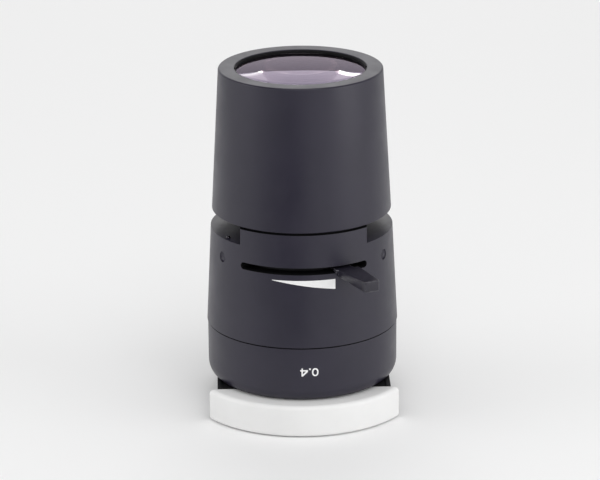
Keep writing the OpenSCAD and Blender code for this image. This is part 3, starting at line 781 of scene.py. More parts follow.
# Painted shade: the ball's steel is darkened to stand for the dark surroundings that it mirrors.
SHADED_BALL_STEEL = Finish("ball_steel_painted_shade", (0.06, 0.055, 0.07), (0.08, 0.075, 0.09), (0.10, 0.18), metallic=1.0)
SLIP_PLASTIC = Finish("black_slip_plastic", (0.012, 0.012, 0.014), (0.018, 0.018, 0.020), (0.35, 0.45))
COATED_GLASS = Glass(
    "coated_lens_glass", (0.95, 0.88, 0.91), (0.95, 0.88, 0.91), (0.0, 0.012), grain_depth=0.0,
    reflection_tint=(1.0, 0.80, 0.93), film=148.0, film_index=1.46, index=1.6)
GROUND_GLASS = Glass(
    "ground_glass", (0.90, 0.94, 0.94), (0.94, 0.96, 0.96), (0.42, 0.55), grain_depth=0.000006)


def dress(piece: bpy.types.Object, finish: Finish) -> None:
    """Give a piece one finish all over.

    Args:
        piece: A new piece or a carried-over one.
        finish: Its finish.
    """
    material = finish.material()
    if not piece.material_slots:
        piece.data.materials.append(material)
    for holder in piece.material_slots:
        holder.material = material


def dress_node(name: str, finish: Finish) -> None:
    """Give a carried-over node its finish and report it."""
    dress(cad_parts[name], finish)
    LOG.info("dressed %s as %s", name, finish.name)


def place(piece: bpy.types.Object, body: Body, slot: str, finish: Finish, *nodes: str) -> bpy.types.Object:
    """Dress a new piece, let it ride and report it.

    Args:
        piece: The new piece.
        body: The body that it moves with.
        slot: The material slot of its finish; not used.
        finish: Its finish.
        nodes: The carried-over nodes that it stands for.

    Returns:
        The same piece.
    """
    dress(piece, finish)
    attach(piece, body.value)
    if nodes:
        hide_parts(*nodes)
    LOG.info("made %s, %d faces", piece.name, len(piece.data.polygons))
    return piece


@dataclass(frozen=True)
class Lamp:
    """A soft square lamp that faces the middle of the object."""

    name: str
    spot: Point3
    side: float
    watts: float
    shines_through_glass: bool = True

    def build(self, target: Vector) -> None:
        """Make the lamp.

        Args:
            target: The point that it faces.
        """
        data = bpy.data.lights.new(self.name, "AREA")
        data.shape = "SQUARE"
        data.size = self.side
        data.energy = self.watts
        lamp = bpy.data.objects.new(self.name, data)
        lamp.location = self.spot
        lamp.rotation_euler = (target - lamp.location).to_track_quat("-Z", "Y").to_euler()
        lamp.visible_transmission = self.shines_through_glass
        bpy.context.scene.collection.objects.link(lamp)


@dataclass
class Studio:
    """The camera at the photograph's place, the pale floor and the lamps."""

    camera_place: Point3 = (-0.02798, -1.04427, 0.41377)
    camera_pitch: float = 18.622
    camera_turn: float = -1.5
    camera_roll: float = -0.422
    focal_pixels: float = 3033.5
    picture_width: float = 600.0
    sensor: float = 36.0
    view_distance: float = 20.0
    floor_radius: float = 4.0
    floor_drop: float = 0.00005
    floor_thickness: float = 0.01
    floor_colour: Colour = (0.90, 0.90, 0.90)
    floor_roughness: float = 0.7
    floor_specular: float = 0.15
    backdrop: Colour = (0.865, 0.865, 0.86)
    overhead: Colour = (0.18, 0.16, 0.18)
    overhead_range: Point2 = (0.22, 0.62)
    middle_range: Point2 = (0.42, 0.22)
    ambient: float = 0.60
    target: Point3 = (0.0, 0.0, 0.06)
    lamps: tuple[Lamp, ...] = (
        Lamp("lamp_over_front", (0.10, -0.75, 1.25), 0.9, 5.9, shines_through_glass=False),
        Lamp("lamp_right", (0.95, -0.45, 0.30), 0.7, 3.2),
        Lamp("lamp_left", (-1.10, -0.20, 0.45), 0.7, 2.1),
        Lamp("lamp_behind", (0.0, 1.10, 0.9), 0.9, 3.4, shines_through_glass=False),
    )
    card_low: Point2 = (-0.30, -1.30)
    card_high: Point2 = (0.02, -0.16)
    card_heights: Point2 = (0.0002, 0.0006)
    card_colour: Colour = (0.02, 0.02, 0.025)
    card_roughness: float = 0.9
    card_specular: float = 0.5

    def build(self) -> None:
        """Make the camera, the floor, the world, the lamps and the card."""
        self.camera()
        self.floor()
        self.world()
        for lamp in self.lamps:
            lamp.build(Vector(self.target))
        self.dark_card()
        LOG.info("made the studio")

    def camera(self) -> None:
        """Make the camera that sees the object as the photograph does."""
        data = bpy.data.cameras.new("camera")
        data.sensor_width = self.sensor
        data.lens = self.focal_pixels * self.sensor / self.picture_width
        data.clip_end = self.view_distance
        camera = bpy.data.objects.new("camera", data)
        turn = Matrix.Rotation(math.radians(self.camera_turn), 4, "Z")
        pitch = Matrix.Rotation(math.radians(90 - self.camera_pitch), 4, "X")
        roll = Matrix.Rotation(math.radians(self.camera_roll), 4, "Z")
        camera.matrix_world = Matrix.Translation(self.camera_place) @ turn @ pitch @ roll
        bpy.context.scene.collection.objects.link(camera)
        bpy.context.scene.camera = camera
        bpy.context.scene.view_settings.view_transform = "Standard"

    def floor(self) -> None:
        """Make the pale floor."""
        top, foot = -self.floor_drop, -self.floor_thickness
        floor = lathe("floor", [(0, top), (self.floor_radius, top), (self.floor_radius, foot), (0, foot)])
        floor.data.materials.append(
            plain_material("pale_floor", self.floor_colour, self.floor_roughness, self.floor_specular))

    def world(self) -> None:
        """Make the pale surroundings: darker overhead to mirrors and lenses than to the camera."""
        world = bpy.data.worlds.new("studio")
        bpy.context.scene.world = world
        world.use_nodes = True
        graph = Graph(world.node_tree)
        rays = graph.add("LightPath").outputs
        mirrored = graph.math("MAXIMUM", rays["Is Transmission Ray"], rays["Is Glossy Ray"])
        seen = graph.math("MAXIMUM", rays["Is Camera Ray"], mirrored)
        direction = graph.add("SeparateXYZ")
        graph.join(graph.add("TexCoord").outputs["Generated"], direction.inputs[0])
        height = graph.soft_step(direction.outputs["Z"], *self.overhead_range)
        middle = graph.soft_step(graph.math("ABSOLUTE", direction.outputs["X"]), *self.middle_range)
        overhead = graph.math("MULTIPLY", height, mirrored)
        behind = graph.math("MULTIPLY", middle, rays["Is Transmission Ray"])
        darker = graph.math("MAXIMUM", overhead, behind)
        sky = graph.blend(darker, (*self.backdrop, 1.0), (*self.overhead, 1.0))
        light, shown = graph.add("Background"), graph.add("Background")
        graph.feed((1.0, 1.0, 1.0, 1.0), light.inputs["Color"])
        graph.feed(self.ambient, light.inputs["Strength"])
        graph.feed(sky, shown.inputs["Color"])
        graph.feed(1.0, shown.inputs["Strength"])
        mix = graph.add("MixShader")
        for socket, into in zip((seen, light.outputs[0], shown.outputs[0]), mix.inputs):
            graph.join(socket, into)
        graph.join(mix.outputs[0], graph.add("OutputWorld").inputs["Surface"])

    def dark_card(self) -> None:
        """Make the dark card in front, which only mirror rays see."""
        (left, front), (right, back) = self.card_low, self.card_high
        card = prism("dark_card", [(left, front), (right, front), (right, back), (left, back)],
                     *self.card_heights)
        card.data.materials.append(
            plain_material("dark_card", self.card_colour, self.card_roughness, self.card_specular))
        card.visible_camera = False
        card.visible_diffuse = False
        card.visible_shadow = False
        card.visible_transmission = False


def lens_face(clear: float, curve: float, flat: float, upward: bool, steps: int = 40) -> list[Point2]:
    """Profile of a lens face from the axis to its clear radius.

    Args:
        clear: Radius where the face meets the flat rim.
        curve: Radius of curvature.
        flat: Height of the flat rim.
        upward: Whether the face bulges up.
        steps: Number of steps along the profile.

    Returns:
        Radius and height of the points, from the axis outwards.
    """
    base = math.sqrt(curve**2 - clear**2)
    side = 1.0 if upward else -1.0
    radii = [clear * k / steps for k in range(steps + 1)]
    return [(r, flat + side * (math.sqrt(curve**2 - r**2) - base)) for r in radii]


def domed_lens(node: str, clear: float, curve: float, edge: float) -> None:
    """Make a lens that is flat below and bulges above, in place of a carried-over one.

    Args:
        node: The carried-over lens, whose name the new one takes with _glass after it.
        clear: Radius where the dome meets the flat rim.
        curve: The dome's radius of curvature.
        edge: Height of the lens at its rim.
    """
    low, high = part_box(node)
    top = low.z + edge
    profile = lens_face(clear, curve, top, True) + [(high.x, top), (high.x, low.z), (0, low.z)]
    place(lathe(node + "_glass", profile), Body.FIXED, "coated_glass", COATED_GLASS, node)


@dataclass
class Barrel:
    """The tapered barrel with its front lens, rear lens and rings."""

    top_radius: float = 29.5 * MM
    rim_round: float = 0.7 * MM
    foot_chamfer: float = 0.4 * MM
    bore: float = 23.7 * MM
    bore_chamfer: float = 0.1 * MM
    rim_chamfer: float = 0.25 * MM
    rim_finished: float = 1.0 * MM
    flange: float = 3.13 * MM
    flange_bore: float = 19.8 * MM
    front_outer_curve: float = 300 * MM
    front_outer_clear: float = 22.8 * MM
    front_inner_curve: float = 40 * MM
    inner_clear: float = 21.9 * MM
    rear_edge: float = 2.5 * MM
    rear_curve: float = 42 * MM

    def build(self) -> None:
        """Make the barrel and its lenses, and dress the rest."""
        self.shell()
        self.front_lens()
        domed_lens("rear_lens", self.inner_clear, self.rear_curve, self.rear_edge)
        dress_node("front_lens_ring", FLAT_BLACK_AND_PAINTED_SHADE)
        dress_node("spacer_tube", FLAT_BLACK_AND_PAINTED_SHADE)
        dress_node("barrel_screws", SCREW_BLACK)

    def shell(self) -> None:
        """Make the barrel, with painted shade underneath and in its bore: flat black painted on those faces.
        """
        low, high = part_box("barrel")
        corners = [
            (self.flange_bore, low.z, self.bore_chamfer),
            (high.x, low.z, self.foot_chamfer),
            (self.top_radius, high.z, self.rim_round),
            (self.bore, high.z, self.rim_chamfer),
            (self.bore, low.z + self.flange, 0.0),
            (self.flange_bore, low.z + self.flange, self.bore_chamfer),
        ]
        piece = lathe("barrel_shell", rounded(corners, 10))
        place(piece, Body.FIXED, "black_anodised", BLACK_ANODISED, "barrel")
        under = low.z + ROUNDING_ROOM
        inner = self.bore + ROUNDING_ROOM
        rim = high.z - self.rim_finished

        def barrel_painted_shade(middle: Vector) -> bool:
            """Tell whether a face is the underside or lies in the bore, where flat black is painted as
            shade.
            """
            return middle.z < under or (middle.xy.length < inner and middle.z < rim)

        # Painted shade: the underside and bore faces get flat black to darken them.
        paint_faces(piece, FLAT_BLACK_AND_PAINTED_SHADE, barrel_painted_shade)

    def front_lens(self) -> None:
        """Make the front lens: a nearly flat outer face and a bulging inner one."""
        low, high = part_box("front_lens")
        outer_curve, inner_curve = self.front_outer_curve, self.front_inner_curve
        top = high.z - (outer_curve - math.sqrt(outer_curve**2 - self.front_outer_clear**2))
        bottom = low.z + (inner_curve - math.sqrt(inner_curve**2 - self.inner_clear**2))
        outer = lens_face(self.front_outer_clear, outer_curve, top, True)
        inner = lens_face(self.inner_clear, inner_curve, bottom, False)
        profile = outer + [(high.x, top), (high.x, bottom)] + inner[::-1]
        place(lathe("front_lens_glass", profile), Body.FIXED, "coated_glass", COATED_GLASS, "front_lens")


@dataclass(frozen=True)
class Cone:
    """The housing's tapered outer face."""

    base: float
    foot: float
    taper: float

    def radius(self, height: float) -> float:
        """Give the face's radius at a height."""
        return self.foot - self.taper * (height - self.base)


@dataclass
class Housing:
    """The tapered housing with the lever slot, the opening mark, the set screws and the slider passage."""

    top_radius: float = 32.95 * MM
    height: float = 35.65 * MM
    bore: float = 29.05 * MM
    spigot_radius: float = 31 * MM
    spigot: float = 7.4 * MM
    web: float = 1.6 * MM
    web_bore: float = 20.5 * MM
    passage_width: float = 42 * MM
    wall_width: float = 45 * MM
    shadow_gap: float = 0.67 * MM
    shadow_depth: float = 1.6 * MM
    step_inset: float = 0.9 * MM
    slot_height: float = 2.57 * MM
    slot_end: float = 42.3
    mark_depth: float = 0.15 * MM
    set_screw_hole: float = 2.02 * MM
    screw_sunk: float = 0.12 * MM
    screw_rim: float = 0.1 * MM
    screw_dish: float = 0.75 * MM
    screw_clear: float = 0.1 * MM
    set_screw_angles: tuple[float, ...] = (-60.0, 60.0, 180.0)
    slot_above_mark: float = 3.3 * MM
    mark_tip: float = 0.15 * MM
    detent_radius: float = 30.8 * MM
    detent_angle: float = -60.0
    sleeve_radius: float = 1.27 * MM
    sleeve: float = 4.0 * MM
    barrel_screw_place: Point2 = (10 * MM, 24.2 * MM)
    barrel_screw_head: float = 2.4 * MM
    barrel_screw_sink: float = 3.0 * MM
    edge_break: float = 0.12 * MM
    skin: float = 0.3 * MM
    overrun: float = 1.0 * MM

    def cone(self) -> Cone:
        """Give the housing's outer face."""
        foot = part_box("housing")[1].x
        return Cone(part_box("base_ring")[1].z, foot, (foot - self.top_radius) / self.height)

    def build(self) -> None:
        """Make the housing and dress what it carries."""
        self.shell()
        dress_node("opening_mark", MARK_WHITE)
        self.set_screws()
        dress_node("detent_sleeve", SCREW_BLACK)
        # The ball's finish is painted shade: steel darkened for its dark reflection.
        dress_node("detent_ball", SHADED_BALL_STEEL)
        dress_node("detent_spring", BRIGHT_STEEL)

    def shell(self) -> None:
        """Make the housing: a turned shell, cut and then softened along its edges."""
        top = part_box("housing")[1].z
        cone = self.cone()
        floor = cone.base + self.height
        wall_top = top - self.shadow_gap
        wall_radius = cone.radius(wall_top)
        web = floor - self.web
        lower = cone.base - self.spigot
        profile = [
            (self.bore, lower), (self.spigot_radius, lower), (self.spigot_radius, cone.base),
            (cone.foot, cone.base), (wall_radius, wall_top),
            (self.web_bore, wall_top), (self.web_bore, web), (self.bore, web),
        ]
        piece = lathe("housing_shell", profile)
        carve(piece, self.steps(wall_radius - self.shadow_depth, wall_top, top), Carving.JOIN)
        openings = self.passage(cone.foot, floor, top) + self.slot(cone)
        carve(piece, openings + self.holes(cone.foot, floor, web))
        soften_edges(piece, self.edge_break)
        place(piece, Body.FIXED, "black_anodised", BLACK_ANODISED, "housing")
        half = self.passage_width / 2

        def housing_painted_shade(middle: Vector) -> bool:
            """Tell whether a face is inside, on a side of the passage or in the gap under the barrel: these
            faces get flat black as painted shade.

            Args:
                middle: The face's middle.

            Returns:
                Whether it is.
            """
            outside = cone.radius(middle.z) - self.skin
            side = middle.z > floor + ROUNDING_ROOM and abs(abs(middle.y) - half) < self.skin
            gap = middle.z < floor - self.skin or middle.z > wall_top - ROUNDING_ROOM
            return middle.xy.length < outside and (gap or side)

        # Painted shade: the passage sides, the gap under the barrel and the inner faces get flat black.
        paint_faces(piece, FLAT_BLACK_AND_PAINTED_SHADE, housing_painted_shade)

    def steps(self, radius: float, low: float, high: float) -> list[bpy.types.Object]:
        """Make the two steps on the walls that carry the barrel.

        Args:
            radius: Outer radius of the steps.
            low: Height of the walls.
            high: Height of the steps.

        Returns:
            The two steps.
        """
        half = self.wall_width / 2 - self.step_inset
        inner = self.passage_width / 2
        reach = math.asin(half / radius)
        pieces = []
        for side in (-1, 1):
            middle = math.pi / 2 * side
            outline = arc((0, 0), radius, middle - reach, middle + reach, 24)
            outline += [(-side * half, side * inner), (side * half, side * inner)]
            pieces.append(prism("wall_step", outline, low - self.overrun, high))
        return pieces

    def passage(self, foot: float, floor: float, high: float) -> list[bpy.types.Object]:
        """Make the cutters of the slider passage and of the walls' sides.

        Args:
            foot: Radius of the housing's foot.
            floor: Height of the passage's floor.
            high: Height of the housing.

        Returns:
            The cutters.
        """
        reach = foot + self.overrun
        half = self.passage_width / 2
        cutters = [box("passage", (-reach, -half, floor), (reach, half, high + self.overrun))]
        for side in (-1, 1):
            ends = sorted((side * self.wall_width / 2, side * reach))
            cutters.append(box("wall_side", (ends[0], -reach, floor), (ends[1], reach, high + self.overrun)))
        return cutters

    def slot(self, cone: Cone) -> list[bpy.types.Object]:
        """Make the cutters of the lever slot and of the opening mark's recess.

        Args:
            cone: The housing's outer face.

        Returns:
            The two cutters.
        """
        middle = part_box("opening_mark")[1].z + self.slot_above_mark
        half = self.slot_height / 2
        end = math.radians(self.slot_end)
        tip = half / self.top_radius
        steps, straight, first_step = 8, 64, 0.3
        turns = [math.pi / 2 * (k + first_step) / (steps + first_step) for k in range(steps + 1)]
        left = [(-end + tip * (1 - math.cos(a)), half * math.sin(a)) for a in turns]
        row = [(-end + tip + (end - tip) * 2 * k / straight, half) for k in range(1, straight)]
        stations = left + row + [(-t, h) for t, h in reversed(left)]
        inner, outer = self.bore - self.overrun, cone.foot + self.overrun
        levels = [[on_cylinder(t, r, middle + side * h) for r, side in
                   ((inner, -1), (outer, -1), (outer, 1), (inner, 1))] for t, h in stations]
        return [loft("lever_slot", levels), self.mark_recess(cone)]

    def mark_recess(self, cone: Cone) -> bpy.types.Object:
        """Make the cutter of the recess that the white mark fills.

        Args:
            cone: The housing's outer face.

        Returns:
            The cutter.
        """
        low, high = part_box("opening_mark")
        outline = [(low.x, high.z), (low.x, high.z - self.mark_tip), (high.x, low.z)]
        return curved_wedge("mark_recess", outline, cone, (self.mark_depth, -self.overrun))

    def set_screws(self) -> None:
        """Make the three set screws, each with a dished end."""
        low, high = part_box("housing_set_screws")
        level = (low.z + high.z) / 2
        radius = (high.z - low.z) / 2
        face = self.cone().radius(level) - self.screw_sunk
        tip = self.bore + self.screw_clear
        rim = radius - self.screw_rim
        profile = [(0.0, tip), (radius, tip), (radius, face), (rim, face)]
        steps = 6
        for k in range(1, steps):
            turn = math.pi / 2 * k / steps
            profile.append((rim * math.cos(turn), face - self.screw_dish * math.sin(turn)))
        profile.append((0.0, face - self.screw_dish))
        screws = []
        for angle in self.set_screw_angles:
            screw = lathe("set_screw", profile, 48)
            turn = Matrix.Rotation(math.radians(angle), 4, "Z") @ Matrix.Rotation(math.pi / 2, 4, "X")
            screw.data.transform(Matrix.Translation((0, 0, level)) @ turn)
            screws.append(screw)
        piece = merge("set_screws", screws)
        place(piece, Body.FIXED, "screw_steel", BLACK_ANODISED, "housing_set_screws")

    def holes(self, foot: float, floor: float, web: float) -> list[bpy.types.Object]:
        """Make the cutters of the screw holes and of the detent's bore.

        Args:
            foot: Radius of the housing's foot.
            floor: Height of the passage's floor.
            web: Height of the underside of the web below that floor.

        Returns:
            The cutters.
        """
        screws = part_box("housing_set_screws")
        level = (screws[0].z + screws[1].z) / 2
        cutters = []
        for angle in self.set_screw_angles:
            turn = math.radians(angle)
            start = on_cylinder(turn, self.bore - self.overrun, level)
            along = on_cylinder(turn, foot - self.bore + 2 * self.overrun, 0)
            cutters.append(cylinder("set_screw_hole", self.set_screw_hole, start, along))
        centre = on_cylinder(math.radians(self.detent_angle), self.detent_radius, floor - self.sleeve)
        up = Vector((0, 0, self.sleeve + self.overrun))
        cutters.append(cylinder("detent_bore", self.sleeve_radius, centre, up))
        sink = Vector((0, 0, self.barrel_screw_sink + self.overrun))
        across, out = self.barrel_screw_place
        for x in (-across, across):
            for y in (-out, out):
                start = Vector((x, y, web - self.overrun))
                cutters.append(cylinder("screw_sink", self.barrel_screw_head, start, sink))
        return cutters


def curved_wedge(
    name: str, outline: Sequence[Point2], cone: Cone, depths: Point2, columns: int = 24,
) -> bpy.types.Object:
    """Make a wedge that follows a cone between two depths.

    Args:
        name: The wedge's name.
        outline: X and Z of the thin end's top and bottom, then of the wide end's bottom.
        cone: The cone's face.
        depths: The two depths below the face.
        columns: Number of steps along the wedge.

    Returns:
        The wedge.
    """
    (x0, top), (_, thin), (x1, low) = outline
    upper = [(x0 + (x1 - x0) * k / columns, top) for k in range(columns + 1)]
    lower = [(x0 + (x1 - x0) * k / columns, thin + (low - thin) * k / columns) for k in range(columns + 1)]
    shape = bmesh.new()
    grid: list[list[list[bmesh.types.BMVert]]] = []
    for depth in depths:
        layer = []
        for row in (upper, lower):
            radii = [cone.radius(z) - depth for _, z in row]
            points = [(x, -math.sqrt(r**2 - x**2), z) for (x, z), r in zip(row, radii)]
            layer.append([shape.verts.new(point) for point in points])
        grid.append(layer)
    for k in range(columns):
        for layer in grid:
            shape.faces.new((layer[0][k], layer[0][k + 1], layer[1][k + 1], layer[1][k]))
        for row in (0, 1):
            shape.faces.new((grid[0][row][k], grid[0][row][k + 1], grid[1][row][k + 1], grid[1][row][k]))
    for k in (0, columns):
        shape.faces.new((grid[0][0][k], grid[0][1][k], grid[1][1][k], grid[1][0][k]))
    return finish_mesh(name, shape)


@dataclass
class Base:
    """The base ring with its number, the slide plate, the grip and what they hold."""

    foot_round: float = 3.8 * MM
    foot_height: float = 5.2 * MM
    seam_height: float = 0.5 * MM
    seam_depth: float = 0.8 * MM
    seam_round: float = 0.1 * MM
    seam_skin: float = 0.05 * MM
    floor_thickness: float = 4.5 * MM
    floor_bore: float = 22.5 * MM
    collector_bore: float = 25.1 * MM
    spigot_bore: float = 31.02 * MM
    spigot_room: float = 8.2 * MM
    collector_edge: float = 2.5 * MM
    collector_curve: float = 45 * MM
    collector_clear: float = 23.5 * MM
    grip_centre: float = 2.15 * MM
    grip_round: float = 1.6 * MM
    grip_foot: float = 1.6 * MM
    grip_foot_inset: float = 2.6 * MM
    grip_corner: float = 0.5 * MM
    grip_back_round: float = 0.3 * MM
    grip_front_steps: int = 96
    grip_corner_steps: int = 10
    pocket_height: float = 8.05 * MM
    pocket_room: float = 0.15 * MM
    tongue_half: float = 21.0 * MM
    overrun: float = 1.0 * MM

    def build(self) -> None:
        """Make the base's pieces and dress the rest."""
        self.ring()
        domed_lens("collector_lens", self.collector_clear, self.collector_curve, self.collector_edge)
        self.grip()
        self.number()
        dress_node("slide_plate", PLATE_BLACK)
        dress_node("grip_screws", SCREW_BLACK)
        dress_node("base_screws", SCREW_BLACK)
        dress_node("diffuser", GROUND_GLASS)
        dress_node("diffuser_ring", FLAT_BLACK_AND_PAINTED_SHADE)
        dress_node("collector_ring", FLAT_BLACK_AND_PAINTED_SHADE)

    def ring(self) -> None:
        """Make the base ring, with a round foot and painted shade in its seam: flat black painted on the
        seam groove.
        """
        low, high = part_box("base_ring")
        floor = low.z + self.floor_thickness
        steps = 12
        foot = []
        for k in range(steps + 1):
            turn = math.pi / 2 * k / steps
            radius = high.x - self.foot_round * (1 - math.sin(turn))
            foot.append((radius, low.z + self.foot_height * (1 - math.cos(turn)), 0.0))
        corners = [
            (self.floor_bore, low.z, 0.0),
            *foot,
            (high.x, high.z - self.seam_height, self.seam_round),
            (high.x - self.seam_depth, high.z - self.seam_height, 0.0),
            (high.x - self.seam_depth, high.z, 0.0),
            (self.spigot_bore, high.z, 0.0),
            (self.spigot_bore, high.z - self.spigot_room, 0.0),
            (self.collector_bore, high.z - self.spigot_room, 0.0),
            (self.collector_bore, floor, 0.0),
            (self.floor_bore, floor, 0.0),
        ]
        piece = lathe("base_ring_shell", rounded(corners, 10))
        place(piece, Body.FIXED, "black_anodised", BLACK_ANODISED, "base_ring")
        groove = high.z - self.seam_height - ROUNDING_ROOM
        inside = high.x - self.seam_skin
        # Painted shade: the seam groove's faces get flat black, to draw the dark line of the seam.
        paint_faces(piece, FLAT_BLACK_AND_PAINTED_SHADE, lambda middle: middle.z > groove and middle.xy.length < inside)

    def grip_outline(self, inset: float, back_inset: float) -> list[Point2]:
        """Outline of the grip, drawn in by an inset.

        Args:
            inset: How far the front arc is drawn in.
            back_inset: How far the back edge is drawn in.

        Returns:
            The outline's points, as many at any inset.
        """
        low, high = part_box("front_grip")
        radius = self.grip_centre - low.y - inset
        back = high.y - back_inset
        corner = self.grip_corner
        centre_y = back - corner
        centre_x = math.sqrt((radius - corner) ** 2 - (centre_y - self.grip_centre) ** 2)
        reach = math.atan2(centre_x, self.grip_centre - centre_y)
        quarter = math.pi / 2
        steps = self.grip_corner_steps
        front = arc((0, self.grip_centre), radius, -quarter - reach, -quarter + reach, self.grip_front_steps)
        right = arc((centre_x, centre_y), corner, -quarter + reach, quarter, steps)
        left = arc((-centre_x, centre_y), corner, quarter, 3 * quarter - reach, steps)
        return front + right[1:] + left[:-1]

    def grip(self) -> None:
        """Make the white grip, with a soft upper front edge and a drawn-in foot."""
        _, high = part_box("front_grip")
        steps = 8
        quarter = [math.pi / 2 * k / steps for k in range(steps + 1)]
        levels = [(self.grip_foot * (1 - math.sin(a)), self.grip_foot_inset * (1 - math.cos(a)), 0.0)
                  for a in reversed(quarter)]
        for a in quarter:
            drawn = 1 - math.cos(a)
            height = high.z - self.grip_round * (1 - math.sin(a))
            levels.append((height, self.grip_round * drawn, self.grip_back_round * drawn))
        loops = [[Vector((x, y, height)) for x, y in self.grip_outline(inset, back_inset)]
                 for height, inset, back_inset in levels]
        piece = loft("grip_moulding", loops)
        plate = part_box("slide_plate")[0]
        reach = self.tongue_half + self.pocket_room
        pocket = box("tongue_pocket", (-reach, plate.y - self.pocket_room, -self.overrun),
                     (reach, high.y + self.overrun, self.pocket_height))
        carve(piece, [pocket])
        shade(piece)
        place(piece, Body.FIXED, "white_plastic", WHITE_MOULDING, "front_grip")

    def number(self) -> None:
        """Make the plain number on the base ring, upside down as the part stands here."""
        piece = Number().build(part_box("base_ring")[1].x)
        place(piece, Body.FIXED, "white_paint", MARK_WHITE)


@dataclass
class Number:
    """The white printed number, a zero, a point and a four, as seen from below."""

    height: float = 3.05 * MM
    stroke: float = 0.52 * MM
    dot: float = 0.62 * MM
    zero_width: float = 2.35 * MM
    four_width: float = 2.75 * MM
    gap: float = 0.42 * MM
    start: float = 4.75 * MM
    head: float = 21.98 * MM
    thickness: float = 0.03 * MM
    sunk: float = 0.02 * MM
    squareness: float = 0.88
    four_bar: float = 0.62 * MM
    four_overhang: float = 0.45 * MM
    four_lean: float = 0.2 * MM
    four_hole_left: float = 1.35
    four_hole_top: float = 1.5

    def build(self, radius: float) -> bpy.types.Object:
        """Make the number on a cylinder.

        Args:
            radius: Radius of the cylinder.

        Returns:
            The number as one piece.
        """
        shape = bmesh.new()
        self.zero(shape)
        dot = self.zero_width + self.gap
        self.bar(shape, (dot, 0.0), (dot + self.dot, self.dot))
        self.four(shape, dot + self.dot + self.gap)
        for vertex in shape.verts:
            along, up, out = vertex.co
            turn = (self.start - along) / radius
            vertex.co = on_cylinder(turn, radius - self.sunk + out, self.head + self.height - up)
        return finish_mesh("base_number", shape)

    def bar(self, shape: bmesh.types.BMesh, low: Point2, high: Point2) -> None:
        """Add a straight stroke between two corners."""
        self.plate(shape, [low, (high[0], low[1]), high, (low[0], high[1])])

    def plate(self, shape: bmesh.types.BMesh, outline: Sequence[Point2]) -> None:
        """Add a flat plate to the shape.

        Args:
            shape: The shape to add to.
            outline: The plate's corners, in order.
        """
        depth = self.sunk + self.thickness
        levels = [[shape.verts.new((x, y, z)) for x, y in outline] for z in (0.0, depth)]
        for level in levels:
            shape.faces.new(level)
        for k in range(len(outline)):
            following = (k + 1) % len(outline)
            shape.faces.new((levels[0][k], levels[0][following], levels[1][following], levels[1][k]))

    def zero(self, shape: bmesh.types.BMesh) -> None:
        """Add the zero: a ring between two stretched circles.

        Args:
            shape: The shape to add to.
        """
        steps = 40
        depth = self.sunk + self.thickness
        half_x, half_y = self.zero_width / 2, self.height / 2
        loops = []
        for inset in (0.0, self.stroke):
            for z in (0.0, depth):
                loop = []
                for k in range(steps):
                    turn = 2 * math.pi * k / steps
                    x = math.copysign(abs(math.cos(turn)) ** self.squareness, math.cos(turn))
                    y = math.copysign(abs(math.sin(turn)) ** self.squareness, math.sin(turn))
                    spot = (half_x + x * (half_x - inset), half_y + y * (half_y - inset), z)
                    loop.append(shape.verts.new(spot))
                loops.append(loop)
        outer_foot, outer_face, inner_foot, inner_face = loops
        for a, b in ((outer_foot, outer_face), (outer_face, inner_face),
                     (inner_face, inner_foot), (inner_foot, outer_foot)):
            for k in range(steps):
                following = (k + 1) % steps
                shape.faces.new((a[k], a[following], b[following], b[k]))

    def four(self, shape: bmesh.types.BMesh, left: float) -> None:
        """Add the four: its slanted side with the bar below, its stem, and the bar's end.

        Args:
            shape: The shape to add to.
            left: Left side of the figure.
        """
        right = left + self.four_width
        stem_right = right - self.four_overhang
        stem_left = stem_right - self.stroke
        bar_low = self.four_bar
        bar_high = bar_low + self.stroke
        hole_left = left + self.four_hole_left * self.stroke
        hole_top = self.height - self.four_hole_top * self.stroke
        self.plate(shape, [
            (left, bar_low), (stem_left, bar_low), (stem_left, bar_high), (hole_left, bar_high),
            (stem_left, hole_top), (stem_left, self.height), (left, bar_high + self.four_lean),
        ])
        self.bar(shape, (stem_left, 0.0), (stem_right, self.height))
        self.bar(shape, (stem_right, bar_low), (right, bar_high))


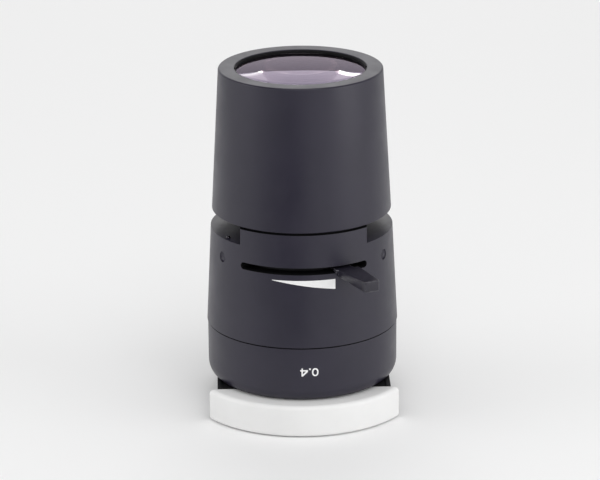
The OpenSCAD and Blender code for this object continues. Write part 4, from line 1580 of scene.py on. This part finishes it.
@dataclass
class Diaphragm:
    """The iris with its cage, blades, rings and lever."""

    reach: float = 53.2 * MM
    neck_height: float = 1.9 * MM
    neck_in_half: float = 2.9 * MM
    neck_out_half: float = 3.75 * MM
    neck_root: float = 27.7 * MM
    handle_root: float = 34.05 * MM
    root_sides: Point2 = (-2.9 * MM, 5.6 * MM)
    tip_sides: Point2 = (-2.2 * MM, 3.3 * MM)
    root_lowered: float = 0.85 * MM
    tip_raised: float = 0.45 * MM
    tip_dropped: float = 0.2 * MM
    edge_break: float = 0.4 * MM
    least_round: float = 0.05 * MM
    tab_length: float = 4.6 * MM
    tab_height: float = 0.95 * MM
    tab_half: float = 2.8 * MM
    cage_bore: float = 27.5 * MM
    screw_inset: float = 2.4 * MM
    screw_half: float = 1.5 * MM
    screw_hole: float = 1.32 * MM
    seam_room: float = 0.02 * MM
    lever_turn: float = 25.3
    blades: int = 8

    def build(self) -> None:
        """Make the lever and dress the rest."""
        self.lever()
        dress_node("iris_cage", FLAT_BLACK_AND_PAINTED_SHADE)
        for k in range(self.blades):
            dress_node(f"iris_blade_{k + 1}", BLADE_STEEL)
        dress_node("iris_drive_ring", BLADE_STEEL)
        dress_node("friction_ring", SLIP_PLASTIC)
        dress_node("iris_closing_ring", FLAT_BLACK_AND_PAINTED_SHADE)
        dress_node("lever_screws", BRIGHT_STEEL)

    def handle_section(self, along: float, low: float, high: float, inset: float) -> list[Vector]:
        """Section across the handle, which widens to the root and thickens to the tip.

        Args:
            along: Place of the section, 0 at the root and 1 at the tip.
            low: Height of the handle's underside at the root.
            high: Height of the lever's top.
            inset: How far the section is drawn in on every side.

        Returns:
            The section's points.
        """
        x = self.handle_root + (self.reach - self.handle_root) * along
        left, right = (root + (tip - root) * along for root, tip in zip(self.root_sides, self.tip_sides))
        bottom = low - self.tip_dropped * along + inset
        top = high - self.root_lowered + (self.root_lowered + self.tip_raised) * along - inset
        corner = max(self.edge_break - inset, self.least_round)
        outline = rounded([(left + inset, bottom, corner), (right - inset, bottom, corner),
                           (right - inset, top, corner), (left + inset, top, corner)], 4)
        return [Vector((x, y, z)) for y, z in outline]

    def lever(self) -> None:
        """Make the lever: handle with broken edges, neck, and tab on the drive ring."""
        low, high = (corner.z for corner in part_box("aperture_lever"))
        broken = self.edge_break / (self.reach - self.handle_root)
        straight, steps = 8, 4
        levels = [self.handle_section(k / straight * (1 - broken), low, high, 0.0)
                  for k in range(straight + 1)]
        for k in range(1, steps + 1):
            turn = math.pi / 2 * k / steps
            inset = self.edge_break * (1 - math.cos(turn))
            levels.append(self.handle_section(1 - broken * (1 - math.sin(turn)), low, high, inset))
        handle = loft("lever_moulding", levels)
        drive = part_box("iris_drive_ring")[0].z
        piece = merge("lever_moulding", [handle, self.neck(high), self.tab(drive)])
        piece.data.transform(Matrix.Rotation(math.radians(self.lever_turn - 90), 4, "Z"))
        place(piece, Body.LEVER, "black_plastic", LEVER_BLACK, "aperture_lever")

    def neck(self, top: float) -> bpy.types.Object:
        """Make the neck that passes through the slot.

        Args:
            top: Height of the lever's top.

        Returns:
            The neck.
        """
        end = self.handle_root + self.seam_room
        outline = [(self.neck_root, -self.neck_in_half), (end, -self.neck_out_half),
                   (end, self.neck_out_half), (self.neck_root, self.neck_in_half)]
        return prism("neck", outline, top - self.neck_height, top - self.root_lowered - self.seam_room)

    def tab(self, drive: float) -> bpy.types.Object:
        """Make the tab under the drive ring, with its two screw holes.

        Args:
            drive: Height of the drive ring's underside.

        Returns:
            The tab.
        """
        start = self.cage_bore - self.tab_length
        piece = box("tab", (start, -self.tab_half, drive),
                    (self.neck_root + self.seam_room, self.tab_half, drive + self.tab_height))
        up = Vector((0, 0, self.tab_height * 3))
        spot = self.cage_bore - self.screw_inset
        carve(piece, [cylinder("hole", self.screw_hole, Vector((spot, y, drive - self.tab_height)), up)
                      for y in (-self.screw_half, self.screw_half)])
        return piece


def main() -> None:
    """Build the studio and the part, in order."""
    logging.basicConfig(level=logging.INFO, format="%(name)s: %(message)s", stream=sys.stdout)
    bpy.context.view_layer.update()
    Studio().build()
    Barrel().build()
    Housing().build()
    Base().build()
    Diaphragm().build()


if __name__ == "__main__":
    main()
